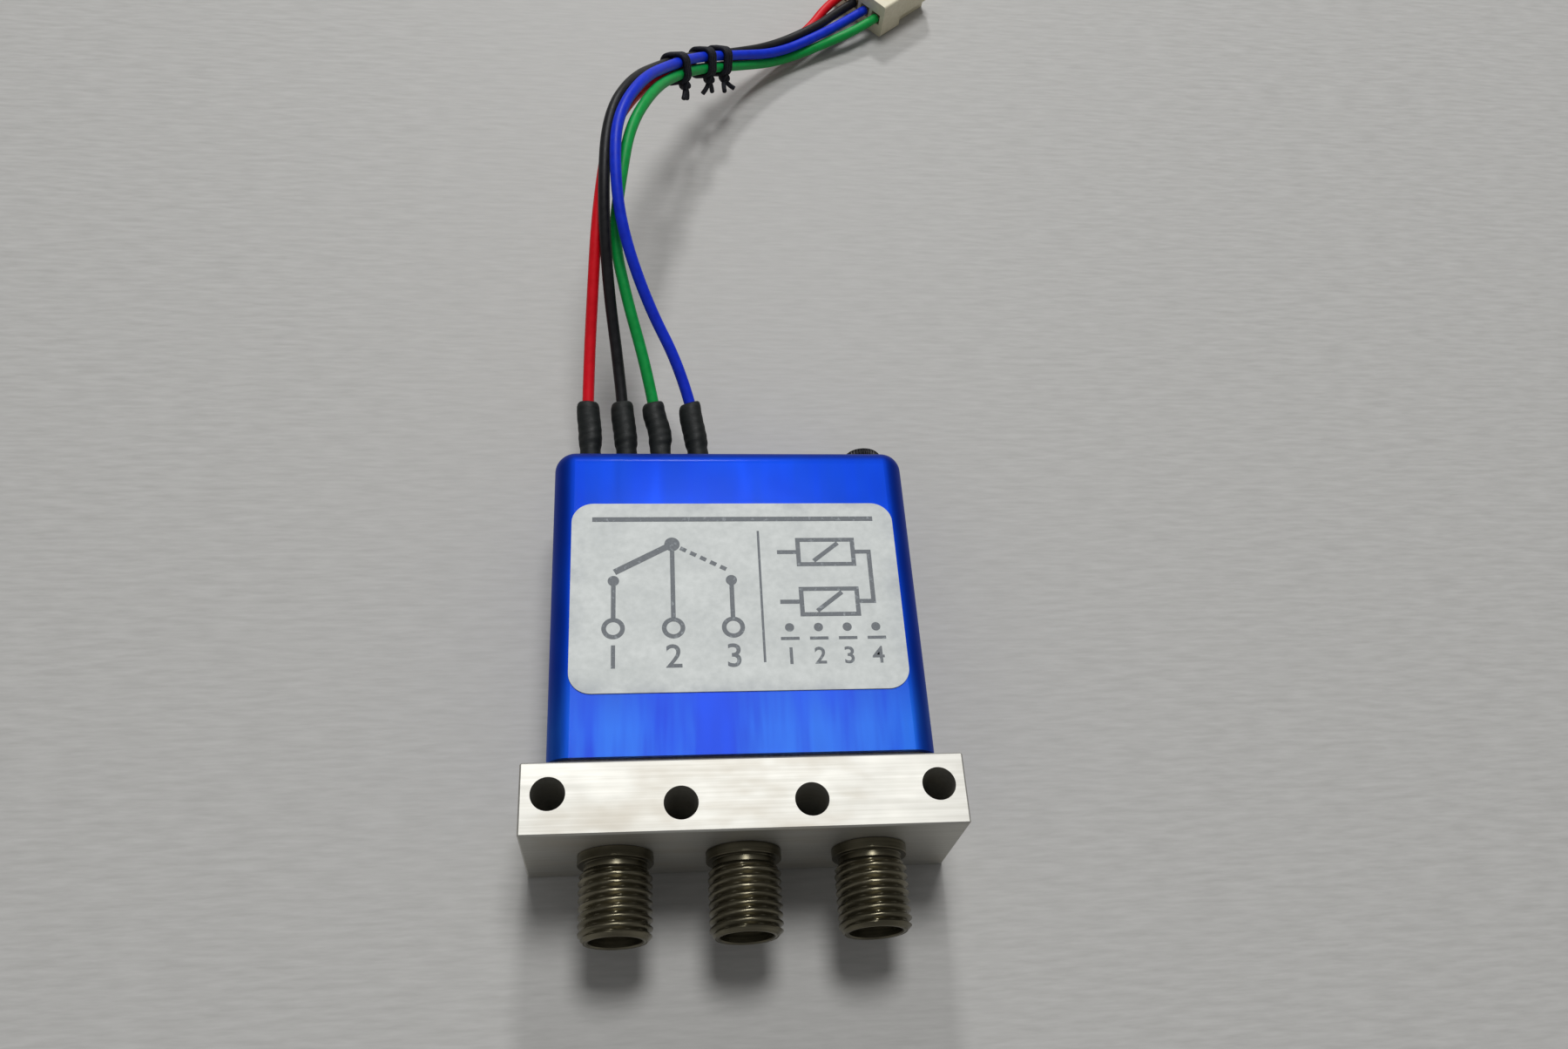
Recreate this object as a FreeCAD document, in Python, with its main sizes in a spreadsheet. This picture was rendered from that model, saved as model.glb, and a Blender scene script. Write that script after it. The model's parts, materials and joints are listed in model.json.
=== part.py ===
import FreeCAD, Part
import math
import operator
import os

import Sketcher

# Coaxial antenna switch: a latching changeover relay for radio signals.
# Millimetres. X runs left to right along the row of ports, +Y from the ports
# towards the wires and +Z up. The origin is the middle of the connector
# body's underside, the face that is bolted to a panel or rests on a table.

Vector = FreeCAD.Vector
doc = FreeCAD.newDocument("coaxial_switch")

# Driving sizes, one cell each
SIZES = {
    # connector body, a solid metal bar with the signal channel milled in its back
    "body_width": 38.1,
    "body_depth": 6.35,
    "body_height": 12.7,
    "body_edge": 0.15,
    "port_pitch": 11.1,
    "mount_hole": 2.95,
    "outer_hole_shift": 0.38,
    "inner_hole_shift": 0.67,
    "channel_width": 4.6,
    "channel_depth": 2.0,
    "channel_overrun": 2.5,
    "seat_bore": 5.3,
    "seat_depth": 2.2,
    "coax_bore": 4.1,
    # plate that closes the channel and carries the actuator
    "plate_thickness": 1.4,
    "plate_fit": 0.15,
    "plate_corner": 1.4,
    "plate_screw_across": 18.4,
    "plate_screw_bore": 1.2,
    "plate_screw_head": 2.1,
    "plate_screw_rise": 0.8,
    "plate_screw_grip": 2.4,
    # drawn can over the actuator
    "can_width": 34.0,
    "can_floor_gap": 0.1,
    "can_seam": 0.35,
    "can_length": 31.6,
    "can_wall": 0.5,
    "can_corner": 2.0,
    "can_end_radius": 1.95,
    "label_length": 30.4,
    "label_breadth": 19.25,
    "label_corner": 2.0,
    "label_thickness": 0.1,
    "label_middle": 18.9,
    # threaded coaxial ports
    "port_thread": 6.35,
    "port_reach": 7.4,
    "port_lead": 0.35,
    "collar_bore": 6.6,
    "collar_length": 0.9,
    "relief_bore": 5.5,
    "relief_length": 0.55,
    "mouth_bore": 4.6,
    "mouth_depth": 1.9,
    "conductor": 1.27,
    "socket_bore": 0.94,
    "socket_depth": 2.8,
    "slot_width": 0.22,
    "button_bore": 1.8,
    "button_rise": 0.4,
    # switching reeds and their push rods
    "contact_travel": 0.5,
    "contact_gap": 0.025,
    "reed_thickness": 0.25,
    "reed_width": 2.4,
    "reed_split": 0.3,
    "reed_overhang": 0.9,
    "rod_bore": 1.5,
    "rod_guide_gap": 0.05,
    "rivet_bore": 0.7,
    "rivet_head": 1.2,
    "rivet_rise": 0.15,
    "rod_head": 3.0,
    "rod_head_rise": 0.6,
    "rod_head_lift": 2.825,
    "spring_wire": 0.24,
    "spring_seat": 0.16,
    "spring_bore": 2.0,
    "spring_turns": 3.0,
    # rocking armature
    "pivot_height": 4.725,
    "pivot_bore": 1.6,
    "pivot_gap": 0.03,
    "armature_length": 23.0,
    "armature_thickness": 1.8,
    "boss_length": 4.6,
    "boss_thickness": 3.2,
    "bushing_bore": 3.2,
    "bushing_end_gap": 0.2,
    "bushing_shoulder": 0.45,
    "pad_bore": 2.0,
    "pad_tip": 0.6,
    "pad_gap": 0.03,
    # yoke, coils and latching magnet
    "leg_width": 6.8,
    "leg_thickness": 1.0,
    "leg_inset": 0.6,
    "foot_thickness": 0.8,
    "foot_breadth": 2.2,
    "foot_margin": 1.4,
    "web_thickness": 1.8,
    "web_width": 23.2,
    "coil_spacing": 16.8,
    "core_bore": 3.5,
    "core_fit": 0.05,
    "core_tail": 0.4,
    "pole_gap": 0.05,
    "pole_lip": 0.45,
    "bobbin_length": 12.2,
    "bobbin_flange": 9.0,
    "bobbin_flange_rise": 0.7,
    "bobbin_tube": 4.6,
    "winding_fill": 8.4,
    "magnet_width": 5.0,
    "magnet_gap": 1.0,
    # driver board behind the yoke
    "pin_wire": 0.6,
    "pin_across": 24.6,
    "pin_up": 2.4,
    "board_standoff": 1.9,
    "board_thickness": 1.0,
    "board_margin": 0.8,
    "board_side_gap": 0.9,
    "board_screw_place": 1.0,
    "board_screw_up": 6.6,
    "board_screw_bore": 1.2,
    "board_screw_head": 2.2,
    "board_screw_rise": 0.7,
    "board_screw_grip": 1.2,
    "spacer_bore": 2.4,
    "chip_rise": 1.4,
    "logic_chip_place": 7.2,
    "logic_chip_length": 6.0,
    "logic_chip_breadth": 5.0,
    "coil_chip_place": 8.0,
    "coil_chip_length": 5.0,
    "coil_chip_breadth": 2.4,
    "coil_chip_spacing": 6.8,
    # post and screw that hold the can
    "post_clear": 0.1,
    "post_bore": 2.4,
    "post_lead": 0.35,
    "post_stub": 1.8,
    "cover_screw_bore": 1.4,
    "cover_screw_grip": 4.0,
    "cover_screw_head": 3.9,
    "cover_screw_rise": 2.3,
    "socket_flats": 1.5,
    "socket_sink": 1.2,
    "washer_rim": 3.7,
    "washer_thickness": 0.6,
    "washer_split": 0.35,
    # terminals, sleeves and wires
    "terminal_pitch": 3.7,
    "terminal_place": 8.05,
    "terminal_wire": 0.9,
    "terminal_reach": 3.8,
    "bead_bore": 2.0,
    "bead_rise": 0.15,
    "sleeve_bore": 2.4,
    "wire_bore": 1.2,
    "tie_cord": 0.5,
    "tie_turns": 3.0,
    "tie_knot": 0.9,
    "tie_knot_length": 1.2,
    "tie_tail": 1.7,
    "tie_slack": 0.2,
    # plug housing at the far end of the wires
    "plug_pitch": 2.0,
    "plug_end_wall": 1.4,
    "plug_height": 4.8,
    "plug_length": 9.5,
    "plug_cavity": 1.5,
    "plug_turn": 42.0,
    "plug_corner_across": 24.3,
    "plug_corner_along": 110.6,
}
WIRE_COUNT = 4

sheet = doc.addObject("Spreadsheet::Sheet", "sizes")
for row, (alias, number) in enumerate(SIZES.items(), start=1):
    sheet.set(f"A{row}", alias)
    sheet.set(f"B{row}", str(number))
    sheet.setAlias(f"B{row}", alias)
doc.recompute()


class Size:
    """A number together with the sheet formula that gives it."""

    def __init__(self, value, formula):
        self.value = float(value)
        self.formula = formula

    def __add__(self, other):
        return joined(self, "+", other)

    def __radd__(self, other):
        return joined(other, "+", self)

    def __sub__(self, other):
        return joined(self, "-", other)

    def __rsub__(self, other):
        return joined(other, "-", self)

    def __mul__(self, other):
        return joined(self, "*", other)

    def __rmul__(self, other):
        return joined(other, "*", self)

    def __truediv__(self, other):
        return joined(self, "/", other)

    def __neg__(self):
        return joined(0.0, "-", self)


OPERATIONS = {"+": operator.add, "-": operator.sub, "*": operator.mul, "/": operator.truediv}


def as_size(item):
    """Give a plain number the same form as a size."""
    if isinstance(item, Size):
        return item
    return Size(item, repr(float(item)))


def joined(left, sign, right):
    left = as_size(left)
    right = as_size(right)
    value = OPERATIONS[sign](left.value, right.value)
    return Size(value, f"({left.formula} {sign} {right.formula})")


class Cells:
    """Gives each cell of the sheet as a size, by its alias."""

    def __getattr__(self, alias):
        return Size(getattr(sheet, alias), f"sizes.{alias}")


S = Cells()

# Places that several pieces share
mid = S.body_height / 2
front_face = -S.body_depth / 2
back_face = S.body_depth / 2
channel_floor = back_face - S.channel_depth
plate_back = back_face + S.plate_thickness
half_pitch = S.port_pitch / 2
port_tip = front_face - S.port_reach
dielectric_front = port_tip + S.mouth_depth
can_open = back_face + S.can_seam
can_end = can_open + S.can_length
can_inside = can_end - S.can_wall
can_low = S.can_floor_gap
can_top = S.body_height - S.label_thickness
inner_low = can_low + S.can_wall
inner_top = can_top - S.can_wall
inner_side = S.can_width / 2 - S.can_wall
tilt_slope = S.contact_travel / S.port_pitch
ROCK_ANGLE = math.degrees(math.asin(tilt_slope.value))
closed_reed = channel_floor + S.button_rise + S.contact_gap
closed_head_top = plate_back + S.rod_head_lift
middle_head_top = closed_head_top + S.contact_travel / 2
pivot_y = plate_back + S.pivot_height
leg_low = inner_low + S.leg_inset
leg_top = inner_top - S.leg_inset
bushing_end = (leg_top - leg_low) / 2 - S.leg_thickness - S.bushing_end_gap
armature_half = bushing_end - S.bushing_shoulder
coil_place = S.coil_spacing / 2
post_place = coil_place + S.bobbin_flange / 2 + S.post_clear + S.post_bore / 2
pole_face = (
    pivot_y
    + S.armature_thickness / 2
    + (coil_place + S.core_bore / 2) * tilt_slope
    + S.pole_gap
)
bobbin_start = pole_face + S.pole_lip
web_start = bobbin_start + S.bobbin_length
web_back = web_start + S.web_thickness
board_front = web_back + S.board_standoff
board_back = board_front + S.board_thickness


def bind(item, path, size):
    """Set a property and tie it to its sheet formula."""
    size = as_size(size)
    if hasattr(item, path):
        setattr(item, path, size.value)
    item.setExpression(path, size.formula)


def place(item, x=0.0, y=0.0, z=0.0, axis=Vector(0, 0, 1), angle=0.0):
    """Turn an object about its own origin and set that origin's place."""
    point = [as_size(value) for value in (x, y, z)]
    turn = FreeCAD.Rotation(axis, angle)
    item.Placement = FreeCAD.Placement(Vector(*[value.value for value in point]), turn)
    for letter, value in zip("xyz", point):
        item.setExpression(f"Placement.Base.{letter}", value.formula)
    return item


# Part primitives


def box(name, low, high):
    """A box between two corners."""
    item = doc.addObject("Part::Box", name)
    for path, start, stop in zip(("Length", "Width", "Height"), low, high):
        bind(item, path, stop - start)
    return place(item, *low)


AXIS_TURN = {
    "x": (Vector(0, 1, 0), 90.0),
    "y": (Vector(1, 0, 0), -90.0),
    "z": (Vector(0, 0, 1), 0.0),
}


def cylinder(name, bore, length, start, direction="y"):
    """A cylinder of diameter bore that runs along +direction from start."""
    item = doc.addObject("Part::Cylinder", name)
    bind(item, "Radius", bore / 2)
    bind(item, "Height", length)
    axis, angle = AXIS_TURN[direction]
    return place(item, *start, axis=axis, angle=angle)


def cut(name, base, tool):
    item = doc.addObject("Part::Cut", name)
    item.Base = base
    item.Tool = tool
    return item


def fuse(name, pieces):
    item = doc.addObject("Part::MultiFuse", name)
    item.Shapes = pieces
    return item


def group(name, pieces):
    """Separate solids that share one file."""
    item = doc.addObject("Part::Compound", name)
    item.Links = pieces
    return item


def tube(name, outer, inner, length, start, direction="y"):
    """A round tube made of two coaxial cylinders."""
    solid = cylinder(f"{name}_outer", outer, length, start, direction)
    hole = cylinder(f"{name}_bore", inner, length, start, direction)
    return cut(name, solid, hole)


def coded(name, shape):
    """A piece whose shape is worked out below from the sheet's sizes."""
    item = doc.addObject("Part::Feature", name)
    item.Shape = shape
    return item


# Bodies with sketches


def new_body(name):
    return doc.addObject("PartDesign::Body", name)


def sketch_on(body, name, role, offset=0.0):
    """A sketch on one of the body's own origin planes, moved along its normal."""
    plane = next(item for item in body.Origin.OriginFeatures if item.Role == role)
    sketch = body.newObject("Sketcher::SketchObject", f"{body.Name}_{name}")
    sketch.AttachmentSupport = [(plane, "")]
    sketch.MapMode = "FlatFace"
    offset = as_size(offset)
    sketch.AttachmentOffset = FreeCAD.Placement(Vector(0, 0, offset.value), FreeCAD.Rotation())
    sketch.setExpression("AttachmentOffset.Base.z", offset.formula)
    return sketch


def pin_point(sketch, element, corner, point):
    """Hold one point of an element at its sheet coordinates."""
    for kind, axis, value in (("DistanceX", -2, point[0]), ("DistanceY", -1, point[1])):
        if not isinstance(value, Size):
            sketch.addConstraint(Sketcher.Constraint("PointOnObject", element, corner, axis))
            continue
        number = sketch.addConstraint(
            Sketcher.Constraint(kind, -1, 1, element, corner, value.value)
        )
        sketch.setExpression(f"Constraints[{number}]", value.formula)


def outline(sketch, points):
    """A closed outline of straight lines; a coordinate that is 0 stays on the axis."""
    first = sketch.GeometryCount
    count = len(points)
    corners = [Vector(as_size(x).value, as_size(y).value, 0) for x, y in points]
    for index in range(count):
        line = Part.LineSegment(corners[index], corners[(index + 1) % count])
        sketch.addGeometry(line, False)
    for index in range(count):
        after = first + (index + 1) % count
        sketch.addConstraint(Sketcher.Constraint("Coincident", first + index, 2, after, 1))
    for index, point in enumerate(points):
        pin_point(sketch, first + index, 1, point)


def rectangle(sketch, low, high):
    outline(sketch, [low, (high[0], low[1]), high, (low[0], high[1])])


def circle(sketch, centre, bore):
    middle = Vector(as_size(centre[0]).value, as_size(centre[1]).value, 0)
    element = sketch.addGeometry(Part.Circle(middle, Vector(0, 0, 1), bore.value / 2), False)
    pin_point(sketch, element, 3, centre)
    number = sketch.addConstraint(Sketcher.Constraint("Radius", element, bore.value / 2))
    sketch.setExpression(f"Constraints[{number}]", (bore / 2).formula)


def pad(body, sketch, length, flipped=False):
    item = body.newObject("PartDesign::Pad", f"{sketch.Name}_pad")
    item.Profile = sketch
    item.Reversed = flipped
    bind(item, "Length", length)
    doc.recompute()
    return item


def pocket(body, sketch, depth, flipped=False):
    """Cut a sketch out of a body and make sure that it took something away."""
    before = body.Shape.Volume
    item = body.newObject("PartDesign::Pocket", f"{sketch.Name}_pocket")
    item.Profile = sketch
    item.Reversed = flipped
    bind(item, "Length", depth)
    doc.recompute()
    if body.Shape.Volume >= before:
        raise ValueError(f"{item.Name} cuts nothing")
    return item


def revolve(body, sketch, axis="V_Axis"):
    item = body.newObject("PartDesign::Revolution", f"{sketch.Name}_turned")
    item.Profile = sketch
    item.ReferenceAxis = (sketch, [axis])
    item.Angle = 360.0
    doc.recompute()
    return item


def edges_where(shape, test):
    """Names of the edges whose middle point and direction pass a test."""
    names = []
    for number, edge in enumerate(shape.Edges, start=1):
        middle = edge.valueAt((edge.FirstParameter + edge.LastParameter) / 2)
        along = edge.tangentAt((edge.FirstParameter + edge.LastParameter) / 2)
        if test(middle, along):
            names.append(f"Edge{number}")
    return names


def dress(body, kind, base, names, path, size):
    """Fillet or chamfer named edges of the last feature."""
    item = body.newObject(f"PartDesign::{kind}", f"{base.Name}_{kind.lower()}")
    item.Base = (base, names)
    bind(item, path, size)
    doc.recompute()
    return item


# Connector body


def make_connector_body():
    body = new_body("rf_body")
    half = S.body_width / 2
    sketch = sketch_on(body, "bar", "XY_Plane")
    rectangle(sketch, (-half, front_face), (half, back_face))
    bar = pad(body, sketch, S.body_height)
    every_edge = edges_where(bar.Shape, lambda middle, along: True)
    dress(body, "Chamfer", bar, every_edge, "Size", S.body_edge)

    # Panel holes: one pair outside the ports, one between them, each set off
    # the middle plane so that the inner pair clears the signal channel.
    sketch = sketch_on(body, "panel_holes", "XY_Plane", S.body_height)
    for side in (-1, 1):
        circle(sketch, (side * 1.5 * S.port_pitch, S.outer_hole_shift), S.mount_hole)
        circle(sketch, (side * half_pitch, -S.inner_hole_shift), S.mount_hole)
    doc.recompute()
    hole = body.newObject("PartDesign::Hole", "rf_body_panel_hole")
    hole.Profile = sketch
    hole.DepthType = "ThroughAll"
    hole.Threaded = False
    bind(hole, "Diameter", S.mount_hole)
    doc.recompute()

    sketch = sketch_on(body, "seats", "XZ_Plane", -front_face)
    for step in (-1, 0, 1):
        circle(sketch, (step * S.port_pitch if step else 0, mid), S.seat_bore)
    pocket(body, sketch, S.seat_depth)
    sketch = sketch_on(body, "coax_bores", "XZ_Plane", -front_face)
    for step in (-1, 0, 1):
        circle(sketch, (step * S.port_pitch if step else 0, mid), S.coax_bore)
    pocket(body, sketch, S.body_depth)

    reach = S.port_pitch + S.channel_overrun
    sketch = sketch_on(body, "channel", "XZ_Plane", -back_face)
    rectangle(sketch, (-reach, mid - S.channel_width / 2), (reach, mid + S.channel_width / 2))
    channel = pocket(body, sketch, S.channel_depth, flipped=True)
    upright = edges_where(
        channel.Shape,
        lambda middle, along: abs(along.y) > 0.99
        and abs(abs(middle.x) - reach.value) < 0.01
        and middle.y > channel_floor.value,
    )
    dress(body, "Fillet", channel, upright, "Radius", S.channel_width / 4)

    sketch = sketch_on(body, "pilots", "XZ_Plane", -back_face)
    for x, z in plate_screw_places():
        circle(sketch, (x, z), S.plate_screw_bore)
    pocket(body, sketch, S.plate_screw_grip, flipped=True)
    return body


def plate_screw_places():
    """Middles of the four screws, each in the middle of a yoke foot's breadth."""
    across = S.plate_screw_across / 2
    rows = (leg_low + S.foot_breadth / 2, leg_top - S.foot_breadth / 2)
    return [(side * across, z) for side in (-1, 1) for z in rows]


def make_channel_plate():
    """Plate over the channel, with guide holes for the two push rods."""
    body = new_body("rf_cover")
    side = inner_side - S.plate_fit
    sketch = sketch_on(body, "plate", "XZ_Plane", -back_face)
    rectangle(sketch, (-side, inner_low + S.plate_fit), (side, inner_top - S.plate_fit))
    plate = pad(body, sketch, S.plate_thickness, flipped=True)
    corners = edges_where(plate.Shape, lambda middle, along: abs(along.y) > 0.99)
    dress(body, "Fillet", plate, corners, "Radius", S.plate_corner)
    sketch = sketch_on(body, "holes", "XZ_Plane", -plate_back)
    for step in (-1, 1):
        circle(sketch, (step * half_pitch, mid), S.rod_bore + 2 * S.rod_guide_gap)
    for x, z in plate_screw_places():
        circle(sketch, (x, z), S.plate_screw_bore)
    circle(sketch, (post_place, mid), S.post_stub)
    pocket(body, sketch, S.plate_thickness, flipped=True)
    return body


def pan_screw(name, x, z, seat, bore, grip, head, rise):
    """Screw along Y with its head above the seat and a crowned top."""
    shank = cylinder(f"{name}_shank", bore, grip + rise / 2, (x, seat - grip, z))
    top = cylinder(f"{name}_head", head, rise, (x, seat, z))
    doc.recompute()
    crown = doc.addObject("Part::Chamfer", f"{name}_crown")
    crown.Base = top
    bevel = (rise * 0.4).value
    far = seat.value + rise.value
    rim = [
        (number, bevel, bevel)
        for number, edge in enumerate(top.Shape.Edges, start=1)
        if edge.Closed and abs(edge.valueAt(edge.FirstParameter).y - far) < 0.01
    ]
    crown.Edges = rim
    slot = box(
        f"{name}_slot",
        (x - head / 2, seat + rise * 0.6, z - head / 12),
        (x + head / 2, seat + rise * 1.1, z + head / 12),
    )
    return cut(name, fuse(f"{name}_blank", [shank, crown]), slot)


def make_plate_screws():
    seat = plate_back + S.foot_thickness
    grip = S.foot_thickness + S.plate_thickness + S.plate_screw_grip
    return group("rf_cover_screws", [
        pan_screw(f"plate_screw_{number}", x, z, seat, S.plate_screw_bore, grip,
                  S.plate_screw_head, S.plate_screw_rise)
        for number, (x, z) in enumerate(plate_screw_places(), start=1)
    ])


# Drawn can


def make_can():
    body = new_body("cover_can")
    half = S.can_width / 2
    sketch = sketch_on(body, "section", "XZ_Plane", -can_open)
    rectangle(sketch, (-half, can_low), (half, can_top))
    block = pad(body, sketch, S.can_length, flipped=True)
    long_edges = edges_where(block.Shape, lambda middle, along: abs(along.y) > 0.99)
    long_round = dress(body, "Fillet", block, long_edges, "Radius", S.can_corner)
    end_edges = edges_where(
        long_round.Shape, lambda middle, along: abs(middle.y - can_end.value) < 0.01
    )
    end_round = dress(body, "Fillet", long_round, end_edges, "Radius", S.can_end_radius)
    open_face = [
        f"Face{number}"
        for number, face in enumerate(end_round.Shape.Faces, start=1)
        if abs(face.CenterOfMass.y - can_open.value) < 0.01
    ]
    shell = body.newObject("PartDesign::Thickness", "cover_can_shell")
    shell.Base = (end_round, open_face)
    shell.Reversed = True
    bind(shell, "Value", S.can_wall)
    doc.recompute()
    sketch = sketch_on(body, "end_holes", "XZ_Plane", -can_end)
    for x in terminal_places():
        circle(sketch, (x, mid), S.bead_bore)
    circle(sketch, (post_place, mid), S.cover_screw_bore + 2 * S.rod_guide_gap)
    pocket(body, sketch, S.can_wall * 1.5, flipped=True)
    return body


def make_label():
    body = new_body("label_plate")
    half = S.label_length / 2
    near = S.label_middle - S.label_breadth / 2
    sketch = sketch_on(body, "outline", "XY_Plane", can_top)
    rectangle(sketch, (-half, near), (half, near + S.label_breadth))
    sheet_pad = pad(body, sketch, S.label_thickness)
    corners = edges_where(sheet_pad.Shape, lambda middle, along: abs(along.z) > 0.99)
    dress(body, "Fillet", sheet_pad, corners, "Radius", S.label_corner)
    return body


# Ports: each one is turned about its own Y axis


def place_on_port(body, step):
    return place(body, x=step * S.port_pitch, z=mid)


def make_port_shell(number, step):
    body = new_body(f"port_shell_{number}")
    outer = S.port_thread / 2
    collar_end = front_face - S.collar_length
    relief_end = collar_end - S.relief_length
    seat_end = front_face + S.seat_depth
    sketch = sketch_on(body, "profile", "XY_Plane")
    outline(sketch, [
        (S.coax_bore / 2, seat_end),
        (S.seat_bore / 2, seat_end),
        (S.seat_bore / 2, front_face),
        (S.collar_bore / 2, front_face),
        (S.collar_bore / 2, collar_end),
        (S.relief_bore / 2, collar_end),
        (S.relief_bore / 2, relief_end),
        (outer - S.port_lead, relief_end),
        (outer, relief_end - S.port_lead),
        (outer, port_tip + S.port_lead),
        (outer - S.port_lead, port_tip),
        (S.mouth_bore / 2, port_tip),
        (S.mouth_bore / 2, dielectric_front),
        (S.coax_bore / 2, dielectric_front),
    ])
    revolve(body, sketch)
    return place_on_port(body, step)


def make_port_dielectric(number, step):
    body = new_body(f"port_dielectric_{number}")
    sketch = sketch_on(body, "profile", "XY_Plane")
    rectangle(
        sketch,
        (S.conductor / 2, dielectric_front),
        (S.coax_bore / 2, channel_floor),
    )
    revolve(body, sketch)
    return place_on_port(body, step)


def make_port_contact(number, step):
    """Centre conductor: a slotted socket outside and a contact button inside."""
    body = new_body(f"port_contact_{number}")
    sketch = sketch_on(body, "profile", "XY_Plane")
    outline(sketch, [
        (0, dielectric_front + S.socket_depth),
        (S.socket_bore / 2, dielectric_front + S.socket_depth),
        (S.socket_bore / 2, dielectric_front),
        (S.conductor / 2, dielectric_front),
        (S.conductor / 2, channel_floor),
        (S.button_bore / 2, channel_floor),
        (S.button_bore / 2, channel_floor + S.button_rise),
        (0, channel_floor + S.button_rise),
    ])
    revolve(body, sketch)
    wide = S.conductor / 2 + S.contact_gap
    half_slot = S.slot_width / 2
    sketch = sketch_on(body, "slots", "XZ_Plane", -dielectric_front)
    rectangle(sketch, (-wide, -half_slot), (wide, half_slot))
    pocket(body, sketch, S.socket_depth * 0.8)
    return place_on_port(body, step)


# Switching reeds, push rods and return springs


def reed_lift(number):
    """Rest height of a contact over its closed place: the first is closed."""
    return as_size(0.0) if number == 1 else S.contact_travel


def make_reed(number, side):
    """Flat blade that bridges the middle port and one outer port."""
    low = closed_reed + reed_lift(number)
    near = S.reed_split / 2
    far = S.port_pitch + S.reed_overhang
    body = new_body(f"reed_{number}")
    half = S.reed_width / 2
    sketch = sketch_on(body, "blade", "XZ_Plane", -low)
    outline(sketch, [
        (side * near, mid - half / 2),
        (side * (near + half), mid - half),
        (side * (far - half / 2), mid - half),
        (side * far, mid - half / 2),
        (side * far, mid + half / 2),
        (side * (far - half / 2), mid + half),
        (side * (near + half), mid + half),
        (side * near, mid + half / 2),
    ])
    circle(sketch, (side * half_pitch, mid), S.rivet_bore)
    pad(body, sketch, S.reed_thickness, flipped=True)
    return body


def make_pushrod(number, side):
    """Moulded rod riveted to its reed, with a head for the spring."""
    lift = reed_lift(number)
    reed_low = closed_reed + lift
    reed_top = reed_low + S.reed_thickness
    head_top = closed_head_top + lift
    body = new_body(f"pushrod_{number}")
    sketch = sketch_on(body, "profile", "XY_Plane")
    outline(sketch, [
        (0, reed_low - S.rivet_rise),
        (S.rivet_head / 2, reed_low - S.rivet_rise),
        (S.rivet_head / 2, reed_low),
        (S.rivet_bore / 2, reed_low),
        (S.rivet_bore / 2, reed_top),
        (S.rod_bore / 2, reed_top),
        (S.rod_bore / 2, head_top - S.rod_head_rise),
        (S.rod_head / 2, head_top - S.rod_head_rise),
        (S.rod_head / 2, head_top),
        (0, head_top),
    ])
    revolve(body, sketch)
    return place(body, x=side * half_pitch, z=mid)


def tangent_arc(enter, corner, leave):
    """The arc that touches two runs of equal length at their outer ends."""
    run_in = corner - enter
    run_out = leave - corner
    half_turn = run_in.getAngle(run_out) / 2
    radius = run_in.Length / math.tan(half_turn)
    inward = run_out - run_in
    inward.normalize()
    crown = corner + inward * (radius / math.cos(half_turn) - radius)
    return Part.Arc(enter, crown, leave).toShape()


def helix_arcs(radius, height, turns):
    """A helix about Z as two tangent arcs for each quarter turn."""
    climb = height / (turns * 2 * math.pi)
    steps = round(turns * 4)

    def station(step):
        angle = step * math.pi / 2
        point = Vector(radius * math.cos(angle), radius * math.sin(angle), climb * angle)
        heading = Vector(-radius * math.sin(angle), radius * math.cos(angle), climb)
        heading.normalize()
        return point, heading

    arcs = []
    for step in range(steps):
        start, out = station(step)
        stop, back = station(step + 1)
        chord = stop - start
        both = out + back
        spread = 2 * (1 - out.dot(back))
        along = chord.dot(both)
        reach = (math.sqrt(along ** 2 + spread * chord.dot(chord)) - along) / spread
        near = start + out * reach
        far = stop - back * reach
        joint = (near + far) * 0.5
        arcs.append(tangent_arc(start, near, joint))
        arcs.append(tangent_arc(joint, far, stop))
    return arcs


def turned_along(face, arcs):
    """One solid from a flat face that is turned through each arc in its order."""
    solids = []
    for arc in arcs:
        centre = arc.Curve.Center
        axis = arc.Curve.Axis
        angle = math.degrees(arc.LastParameter - arc.FirstParameter)
        solids.append(face.revolve(centre, axis, angle))
        face = face.copy()
        face.rotate(centre, axis, angle)
    return solids[0].fuse(solids[1:]).Solids[0]


def make_spring(number, side):
    """Compression spring of square wire between the plate and the rod's head."""
    wire = S.spring_wire.value
    radius = S.spring_bore.value / 2 + wire / 2
    head_low = (closed_head_top + reed_lift(number) - S.rod_head_rise).value
    height = head_low - plate_back.value - 2 * S.spring_seat.value
    arcs = helix_arcs(radius, height, S.spring_turns.value)
    half = wire / 2
    corners = [(-half, -half), (-half, half), (half, half), (half, -half), (-half, -half)]
    section = Part.makePolygon([Vector(radius + out, 0, up) for out, up in corners])
    coil = coded(f"return_spring_{number}", turned_along(Part.Face(section), arcs))
    seat = plate_back + S.spring_seat
    return place(coil, side * half_pitch, seat, mid, Vector(1, 0, 0), -90.0)


# Rocker: armature, bushing and pads, turned together about the pivot


def place_rocker(item):
    """The rocker's pieces are drawn level and tilted to the first latched side."""
    return place(item, y=pivot_y, z=mid, axis=Vector(0, 0, 1), angle=ROCK_ANGLE)


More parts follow.
